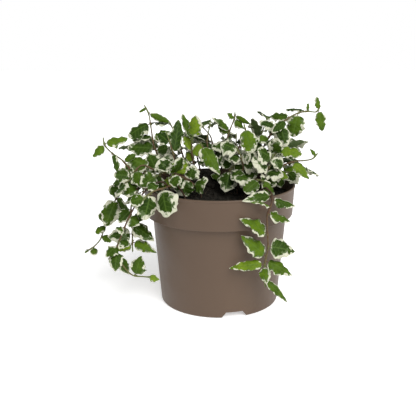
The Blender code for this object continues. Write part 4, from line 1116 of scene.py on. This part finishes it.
def fine_pot(made_of):
    cutters = [notch(FIRST_NOTCH + i * 2 * pi / NOTCHES) for i in range(NOTCHES)]
    cutters += [drain(FIRST_NOTCH + (i + 0.5) * 2 * pi / DRAINS) for i in range(DRAINS)]
    pot = piece_from("pot_fine", lathe("pot_fine", fine_pot_profile(), FINE_SIDES), "pot")
    for cutter in cutters:
        modifier = pot.modifiers.new("opening", "BOOLEAN")
        modifier.operation = "DIFFERENCE"
        modifier.solver = "EXACT"
        modifier.object = cutter
    bpy.context.view_layer.update()
    graph = bpy.context.evaluated_depsgraph_get()
    mesh = bpy.data.meshes.new_from_object(pot.evaluated_get(graph))
    pot.modifiers.clear()
    pot.data = mesh
    for cutter in cutters:
        bpy.data.objects.remove(cutter, do_unlink=True)
    mesh.materials.clear()
    mesh.materials.append(made_of)
    mesh.shade_smooth()
    mesh.set_sharp_from_angle(angle=radians(38))
    return pot


def crumb_height(x, y):
    """The soil's surface with its crumbs' relief."""
    place = Vector((x, y, 0)) / MM
    rough = noise.noise(place * 0.33) * 0.9 + noise.noise(place * 0.9) * 0.5 + noise.noise(place * 2.1) * 0.25
    return soil_height(x, y) + rough * MM


def fine_soil(made_of, fibre):
    """The soil's crumbly top, sides and underside, with loose crumbs and fibres lying on it."""
    draw = random.Random(LOOKS_SEED)
    shelf = POT_HEIGHT - BAND_HEIGHT + WALL + SOIL_GAP
    base = GUTTER_HEIGHT + WALL + SOIL_GAP
    edge = BAND_FOOT_RADIUS - WALL - 2 * SOIL_GAP
    neck = body_radius(shelf) - WALL - SOIL_GAP
    sheet = Sheet()
    rings = []
    for i in range(SOIL_RING_COUNT + 1):
        radius = edge * i / SOIL_RING_COUNT
        ring = []
        for k in range(SOIL_SPOKES if i else 1):
            turn = 2 * pi * k / SOIL_SPOKES
            x, y = radius * cos(turn), radius * sin(turn)
            ring.append(sheet.add((x, y, crumb_height(x, y)), (0, 0)))
        rings.append(ring)
    sides = (
        (edge, SOIL_EDGE_HEIGHT - 3 * MM),
        (edge - 1 * MM, shelf),
        (neck, shelf),
        (body_radius(base) - WALL - SOIL_GAP, base),
        (DISC_RADIUS - WALL + GUTTER_SLOPE - 2 * SOIL_GAP, base),
        (DISC_RADIUS - WALL - 2 * SOIL_GAP, WALL + SOIL_GAP),
    )
    for radius, height in sides:
        turns = [2 * pi * k / SOIL_SPOKES for k in range(SOIL_SPOKES)]
        rings.append([sheet.add((radius * cos(t), radius * sin(t), height), (0, 0)) for t in turns])
    rings.append([sheet.add((0, 0, WALL + SOIL_GAP), (0, 0))])
    for inner, outer in zip(rings, rings[1:]):
        for k in range(SOIL_SPOKES):
            n = (k + 1) % SOIL_SPOKES
            corners = (inner[k % len(inner)], outer[k % len(outer)], outer[n % len(outer)], inner[n % len(inner)])
            sheet.face(tuple(dict.fromkeys(corners)), 0)
    for _ in range(CRUMBS):
        add_crumb(sheet, draw, edge)
    for _ in range(FIBRES):
        add_fibre(sheet, draw, edge)
    piece = piece_from("soil_fine", sheet.mesh("soil_fine", (made_of, fibre)), "soil")
    return piece


def scattered(draw, edge):
    """A place on the soil, more often on the mound."""
    if draw.random() < 0.4:
        x, y = (draw.gauss(place, MOUND_SPREAD * 0.75) for place in MOUND_PLACE)
    else:
        turn, radius = draw.uniform(0, 2 * pi), edge * sqrt(draw.random())
        x, y = radius * cos(turn), radius * sin(turn)
    share = min(1, (edge - 1.5 * MM) / max(sqrt(x * x + y * y), MM))
    return x * share, y * share


def add_crumb(sheet, draw, edge):
    """A small uneven lump half sunk in the surface."""
    x, y = scattered(draw, edge)
    size = draw.uniform(0.45, 1.0) ** 2 * 2.0 * MM
    centre = Vector((x, y, crumb_height(x, y) + size * 0.25))
    bm = bmesh.new()
    bmesh.ops.create_icosphere(bm, subdivisions=2 if size > 1.3 * MM else 1, radius=1)
    stretch = Vector([draw.uniform(0.7, 1.25) for _ in range(3)])
    shift = Vector([draw.uniform(0, 90) for _ in range(3)])
    start = len(sheet.corners)
    for vertex in bm.verts:
        uneven = 1 + 0.45 * noise.noise(vertex.co * 1.6 + shift)
        corner = Vector([vertex.co[i] * stretch[i] for i in range(3)]) * size * uneven
        sheet.add(centre + corner, (0, 0), tone=draw.random())
    for face in bm.faces:
        sheet.face(tuple(start + v.index for v in face.verts), 0)
    bm.free()


def add_fibre(sheet, draw, edge):
    """A thin bent strand of peat lying on the soil."""
    x, y = scattered(draw, edge)
    turn = draw.uniform(0, 2 * pi)
    bend = draw.uniform(-1.2, 1.2)
    length = draw.uniform(3, 9) * MM
    route = []
    for i in range(6):
        route.append(Vector((x, y, crumb_height(x, y) + 0.5 * MM)))
        x += cos(turn) * length / 5
        y += sin(turn) * length / 5
        turn += bend / 5
        if sqrt(x * x + y * y) > edge - 1.5 * MM:
            break
    if len(route) > 2:
        radii = [draw.uniform(0.1, 0.2) * MM] * len(route)
        add_tube(sheet, route, radii, 4, lambda share: 0.5)
# Materials


class Nodes:
    """Short names for building one material's nodes."""

    def __init__(self, name):
        self.made = bpy.data.materials.new(name)
        self.made.use_nodes = True
        self.tree = self.made.node_tree
        self.shader = self.tree.nodes["Principled BSDF"]

    def node(self, kind, **settings):
        made = self.tree.nodes.new(kind)
        for name, value in settings.items():
            setattr(made, name, value)
        return made

    def link(self, source, target):
        self.tree.links.new(source, target)

    def feed(self, socket, value):
        if isinstance(value, bpy.types.NodeSocket):
            self.link(value, socket)
        else:
            socket.default_value = value

    def sum(self, operation, first, second=0.0, third=0.0, clamp=False):
        made = self.node("ShaderNodeMath", operation=operation, use_clamp=clamp)
        for socket, value in zip(made.inputs, (first, second, third)):
            self.feed(socket, value)
        return made.outputs[0]

    def mix(self, share, first, second, blend="MIX"):
        made = self.node("ShaderNodeMix", data_type="RGBA", blend_type=blend)
        self.feed(made.inputs["Factor"], share)
        for socket, value in ((made.inputs[6], first), (made.inputs[7], second)):
            self.feed(socket, value if isinstance(value, bpy.types.NodeSocket) else (*value, 1))
        return made.outputs[2]

    def span(self, value, low, high, to_low=0.0, to_high=1.0, smooth=False):
        made = self.node("ShaderNodeMapRange", clamp=True)
        if smooth:
            made.interpolation_type = "SMOOTHSTEP"
        for i, given in enumerate((value, low, high, to_low, to_high)):
            self.feed(made.inputs[i], given)
        return made.outputs[0]

    def kept(self, name):
        return self.node("ShaderNodeAttribute", attribute_name=name).outputs["Fac"]

    def place(self):
        return self.node("ShaderNodeTexCoord").outputs["Object"]

    def noise(self, scale, detail=3.0, roughness=0.5, vector=None, out=0):
        made = self.node("ShaderNodeTexNoise")
        self.link(vector or self.place(), made.inputs["Vector"])
        made.inputs["Scale"].default_value = scale
        made.inputs["Detail"].default_value = detail
        made.inputs["Roughness"].default_value = roughness
        return made.outputs[out]

    def cells(self, scale, feature="F1", vector=None, out="Distance"):
        made = self.node("ShaderNodeTexVoronoi", feature=feature)
        self.link(vector or self.place(), made.inputs["Vector"])
        made.inputs["Scale"].default_value = scale
        return made.outputs[out]

    def bump(self, height, strength, distance, normal=None):
        made = self.node("ShaderNodeBump")
        made.inputs["Strength"].default_value = strength
        made.inputs["Distance"].default_value = distance
        self.link(height, made.inputs["Height"])
        if normal:
            self.link(normal, made.inputs["Normal"])
        return made.outputs[0]

    def finish(self, colour, roughness, normal=None, **constants):
        self.feed(self.shader.inputs["Base Color"], colour)
        self.feed(self.shader.inputs["Roughness"], roughness)
        if normal:
            self.link(normal, self.shader.inputs["Normal"])
        for name, value in constants.items():
            self.shader.inputs[name.replace("_", " ")].default_value = value
        return self.made


# Colours read from the photo, as linear red, green and blue
DARK_GREEN = (0.012, 0.030, 0.003)
MID_GREEN = (0.031, 0.064, 0.004)
FRESH_GREEN = (0.080, 0.142, 0.007)
LIME_GREEN = (0.180, 0.260, 0.014)
GREY_GREEN = (0.090, 0.130, 0.050)
CREAM = (0.600, 0.595, 0.470)
CREAM_SHADE = (0.420, 0.430, 0.310)
RIB_GREEN = (0.080, 0.140, 0.024)
UNDERSIDE = (0.110, 0.160, 0.060)
POT_TAUPE = (0.088, 0.056, 0.036)
POT_DUSTY = (0.106, 0.070, 0.046)
POT_FLECK = (0.075, 0.048, 0.032)


def green_of(n):
    """Dark to lime by the leaf's tone, with a little drift over the blade."""
    drift = n.span(n.noise(160, 2.0), 0.3, 0.7, -0.10, 0.10)
    tone = n.sum("ADD", n.kept("tone"), drift)
    ramp = n.node("ShaderNodeValToRGB")
    stops = ((0.0, DARK_GREEN), (0.33, MID_GREEN), (0.62, FRESH_GREEN), (1.0, LIME_GREEN))
    while len(ramp.color_ramp.elements) < len(stops):
        ramp.color_ramp.elements.new(0.5)
    for element, (place, colour) in zip(ramp.color_ramp.elements, stops):
        element.position = place
        element.color = (*colour, 1)
    n.link(tone, ramp.inputs[0])
    return ramp.outputs[0]


def vein_lines(n):
    """How near each point is to a side vein or to the rib, from the blade's own coordinates."""
    flat = n.node("ShaderNodeUVMap", uv_map="leaf").outputs[0]
    split = n.node("ShaderNodeSeparateXYZ")
    n.link(flat, split.inputs[0])
    across = n.sum("MULTIPLY_ADD", split.outputs[0], 2.0, -1.0)
    away = n.sum("ABSOLUTE", across)
    right = n.sum("MULTIPLY", n.sum("GREATER_THAN", across, 0.0), 0.25)
    wander = n.span(n.noise(260, 2.0), 0.2, 0.8, -0.12, 0.12)
    turn = n.sum("MULTIPLY_ADD", split.outputs[1], VEIN_PAIRS, right)
    turn = n.sum("ADD", n.sum("MULTIPLY_ADD", away, -VEIN_SLANT, turn), wander)
    cell = n.sum("FRACT", turn)
    near = n.sum("MINIMUM", cell, n.sum("SUBTRACT", 1.0, cell))
    side_vein = n.span(near, 0.03, 0.14, 1.0, 0.0, smooth=True)
    rib = n.span(away, 0.03, 0.10, 1.0, 0.0, smooth=True)
    return side_vein, rib


def leaf_material():
    n = Nodes("variegated_leaf")
    side_vein, rib = vein_lines(n)
    patches = n.cells(330, out="Color")
    split = n.node("ShaderNodeSeparateColor")
    n.link(patches, split.inputs[0])
    jag = n.span(split.outputs[0], 0.0, 1.0, -0.20, 0.20)
    jag = n.sum("ADD", jag, n.span(n.noise(520, 3.0), 0.25, 0.75, -0.13, 0.13))
    rim = n.sum("ADD", n.kept("rim"), jag)
    margin = n.kept("margin")
    cream = n.span(n.sum("SUBTRACT", rim, margin), -0.025, 0.025, 1.0, 0.0)
    wide = n.sum("ADD", n.sum("MULTIPLY", margin, 1.2), n.span(split.outputs[1], 0.0, 1.0, -0.08, 0.24))
    grey = n.span(n.sum("SUBTRACT", rim, wide), -0.03, 0.03, 0.8, 0.0)
    green = green_of(n)
    green = n.mix(n.sum("MULTIPLY", side_vein, 0.35), green, RIB_GREEN)
    green = n.mix(n.span(n.noise(900, 2.0), 0.35, 0.7, 0.0, 0.22), green, DARK_GREEN)
    green = n.mix(grey, green, GREY_GREEN)
    pale = n.mix(n.noise(300, 3.0), CREAM, CREAM_SHADE)
    pale = n.mix(n.sum("MULTIPLY", side_vein, 0.12), pale, GREY_GREEN)
    top = n.mix(cream, green, pale)
    top = n.mix(n.sum("MULTIPLY", rib, 0.45), top, RIB_GREEN)
    below = n.mix(n.sum("MULTIPLY", cream, 0.75), UNDERSIDE, pale)
    colour = n.mix(n.sum("MULTIPLY", n.kept("under"), 0.7), top, below)
    roughness = n.span(n.noise(380, 2.0), 0.3, 0.7, 0.42, 0.58)
    relief = n.sum("MULTIPLY_ADD", side_vein, -0.6, n.noise(1300, 3.0))
    normal = n.bump(relief, 0.25, 0.0003)
    return n.finish(colour, roughness, normal, Specular_IOR_Level=0.08)


def bark_material():
    n = Nodes("fig_bark")
    tone = n.sum("ADD", n.kept("tone"), n.span(n.noise(420, 3.0), 0.3, 0.7, -0.25, 0.25))
    ramp = n.node("ShaderNodeValToRGB")
    stops = (
        (0.0, (0.045, 0.030, 0.020)),
        (0.35, (0.085, 0.045, 0.026)),
        (0.65, (0.110, 0.075, 0.035)),
        (1.0, (0.120, 0.150, 0.050)),
    )
    while len(ramp.color_ramp.elements) < len(stops):
        ramp.color_ramp.elements.new(0.5)
    for element, (place, colour) in zip(ramp.color_ramp.elements, stops):
        element.position = place
        element.color = (*colour, 1)
    n.link(tone, ramp.inputs[0])
    normal = n.bump(n.noise(1500, 4.0, 0.65), 0.6, 0.0003)
    return n.finish(ramp.outputs[0], 0.7, normal, Specular_IOR_Level=0.2)


def pot_material():
    n = Nodes("moulded_plastic")
    drift = n.span(n.noise(14, 3.0), 0.3, 0.7, 0.0, 0.5)
    colour = n.mix(drift, POT_TAUPE, POT_DUSTY)
    speck = n.span(n.noise(1400, 2.0), 0.62, 0.75, 0.0, 0.25)
    colour = n.mix(speck, colour, POT_DUSTY)
    colour = n.mix(n.span(n.noise(2200, 2.0), 0.2, 0.34, 0.25, 0.0), colour, POT_FLECK)
    roughness = n.span(n.noise(60, 3.0), 0.3, 0.7, 0.42, 0.56)
    normal = n.bump(n.noise(2600, 3.0, 0.6), 0.10, 0.0003)
    return n.finish(colour, roughness, normal, Specular_IOR_Level=0.3)


def soil_material():
    n = Nodes("potting_soil")
    drift = n.span(n.noise(240, 5.0, 0.7), 0.3, 0.75, 0.0, 1.0)
    colour = n.mix(drift, (0.004, 0.004, 0.002), (0.018, 0.014, 0.009))
    colour = n.mix(n.sum("MULTIPLY", n.kept("tone"), 0.4), colour, (0.024, 0.021, 0.016))
    normal = n.bump(n.noise(900, 5.0, 0.7), 0.9, 0.0008)
    return n.finish(colour, 0.92, normal, Specular_IOR_Level=0.25)


def fibre_material():
    n = Nodes("peat_fibre")
    colour = n.mix(n.noise(500, 2.0), (0.040, 0.026, 0.016), (0.110, 0.075, 0.045))
    return n.finish(colour, 0.85, None)


def floor_material():
    n = Nodes("pale_floor")
    colour = n.mix(n.noise(6, 2.0), (0.93, 0.93, 0.93), (0.95, 0.95, 0.95))
    glow = {"Emission_Color": (1, 1, 1, 1), "Emission_Strength": FLOOR_GLOW}
    return n.finish(colour, 0.9, None, Specular_IOR_Level=0.1, **glow)


# Camera and light
OVERHEAD = 0.36
SKY_BAND = (0.07, 0.3)
KEY_POWER = 3.0
KEY_SPREAD = radians(45)
KEY_TURN = (radians(48), 0, radians(26))
FLOOR_GLOW = 0.45
FOCAL_PIXELS = 626.3
PHOTO_PIXELS = 416
SENSOR = 36
TILT = radians(14.86)
MIDDLE_PIXEL = 219.33


def add_camera():
    lens = bpy.data.cameras.new("photo_camera")
    lens.sensor_width = SENSOR
    lens.lens = FOCAL_PIXELS / PHOTO_PIXELS * SENSOR
    lens.shift_x = -(MIDDLE_PIXEL - PHOTO_PIXELS / 2) / PHOTO_PIXELS
    lens.clip_start = 0.01
    camera = bpy.data.objects.new("photo_camera", lens)
    camera.location = EYE
    camera.rotation_euler = (pi / 2 - TILT, 0, 0)
    bpy.context.scene.collection.objects.link(camera)
    bpy.context.scene.camera = camera


def add_sky(tree):
    """A white studio backdrop all round, dimmer overhead."""
    place = tree.nodes.new("ShaderNodeTexCoord").outputs["Generated"]
    split = tree.nodes.new("ShaderNodeSeparateXYZ")
    tree.links.new(place, split.inputs[0])
    fade = tree.nodes.new("ShaderNodeMapRange")
    tree.links.new(split.outputs["Z"], fade.inputs["Value"])
    fade.inputs["From Min"].default_value = SKY_BAND[0]
    fade.inputs["From Max"].default_value = SKY_BAND[1]
    fade.inputs["To Min"].default_value = 1
    fade.inputs["To Max"].default_value = OVERHEAD
    sky = tree.nodes["Background"]
    sky.inputs[0].default_value = (1, 1, 1, 1)
    tree.links.new(fade.outputs[0], sky.inputs[1])


def add_stage():
    mesh = bpy.data.meshes.new("floor")
    far = 4
    mesh.from_pydata([(-far, -far, 0), (far, -far, 0), (far, far, 0), (-far, far, 0)], [], [(0, 1, 2, 3)])
    mesh.materials.append(floor_material())
    floor_piece = bpy.data.objects.new("floor", mesh)
    floor_piece.location.z = -0.0002
    bpy.context.scene.collection.objects.link(floor_piece)
    world = bpy.data.worlds.new("studio")
    bpy.context.scene.world = world
    world.use_nodes = True
    add_sky(world.node_tree)
    lamp = bpy.data.lights.new("soft_key", "SUN")
    lamp.energy = KEY_POWER
    lamp.angle = KEY_SPREAD
    key = bpy.data.objects.new("soft_key", lamp)
    key.rotation_euler = KEY_TURN
    bpy.context.scene.collection.objects.link(key)
    bpy.context.scene.view_settings.view_transform = "Standard"


def settled_stems():
    """Every stem's route with its leaves, placed in the same order as in the construction."""
    routes = stem_routes()
    crowd = Crowd()
    crowd.add_object(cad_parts["pot"])
    crowd.add_object(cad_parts["soil"])
    helpers = bpy.context.scene.collection
    for name, (route, _, _) in routes.items():
        tube = stem_tube(name + "_tube", helpers, route)
        bpy.context.view_layer.update()
        crowd.add_object(tube, name, is_stem=True)
        bpy.data.objects.remove(tube, do_unlink=True)
    draw = random.Random(SEED)
    wanted = {}
    for name, (_, _, leaves) in SEEN_STEMS.items():
        wanted[name] = []
        for values in leaves:
            habit, turn = drawn_habit(draw, name in POINTED_STEMS), draw.uniform(*ROLLS)
            wanted[name].append(slid_copies(routes[name][0], values, habit, turn))
    for name in INNER_STEMS:
        wanted[name] = [bent_copies(leaf) for leaf in inner_leaves(routes[name][0], draw)]
    placed = {}
    for name, choices in wanted.items():
        placed[name] = []
        for i, copies in enumerate(choices):
            kept = settle(copies, name, crowd)
            if kept:
                placed[name].append((i, kept))
                crowd.add(*kept.slab(LEAF_THICKNESS), owner=name)
    return routes, placed


def main():
    routes, placed = settled_stems()
    materials = (leaf_material(), bark_material())
    draw = random.Random(LOOKS_SEED)
    for i, (name, leaves) in enumerate(placed.items()):
        # Inner stems draw their letters from the darkened set, which paints shade onto the leaves inside the
        # foliage
        letters = SEEN_LOOKS.get(name) or [draw.choice(INNER_SHADE_DARKENED_LOOKS) for _ in range(40)]
        chosen = [letters[k % len(letters)] for k, _ in leaves]
        fine_stem(name, routes[name][0], [leaf for _, leaf in leaves], chosen, materials, LOOKS_SEED + i)
    fine_pot(pot_material())
    fine_soil(soil_material(), fibre_material())
    add_stage()
    add_camera()


main()
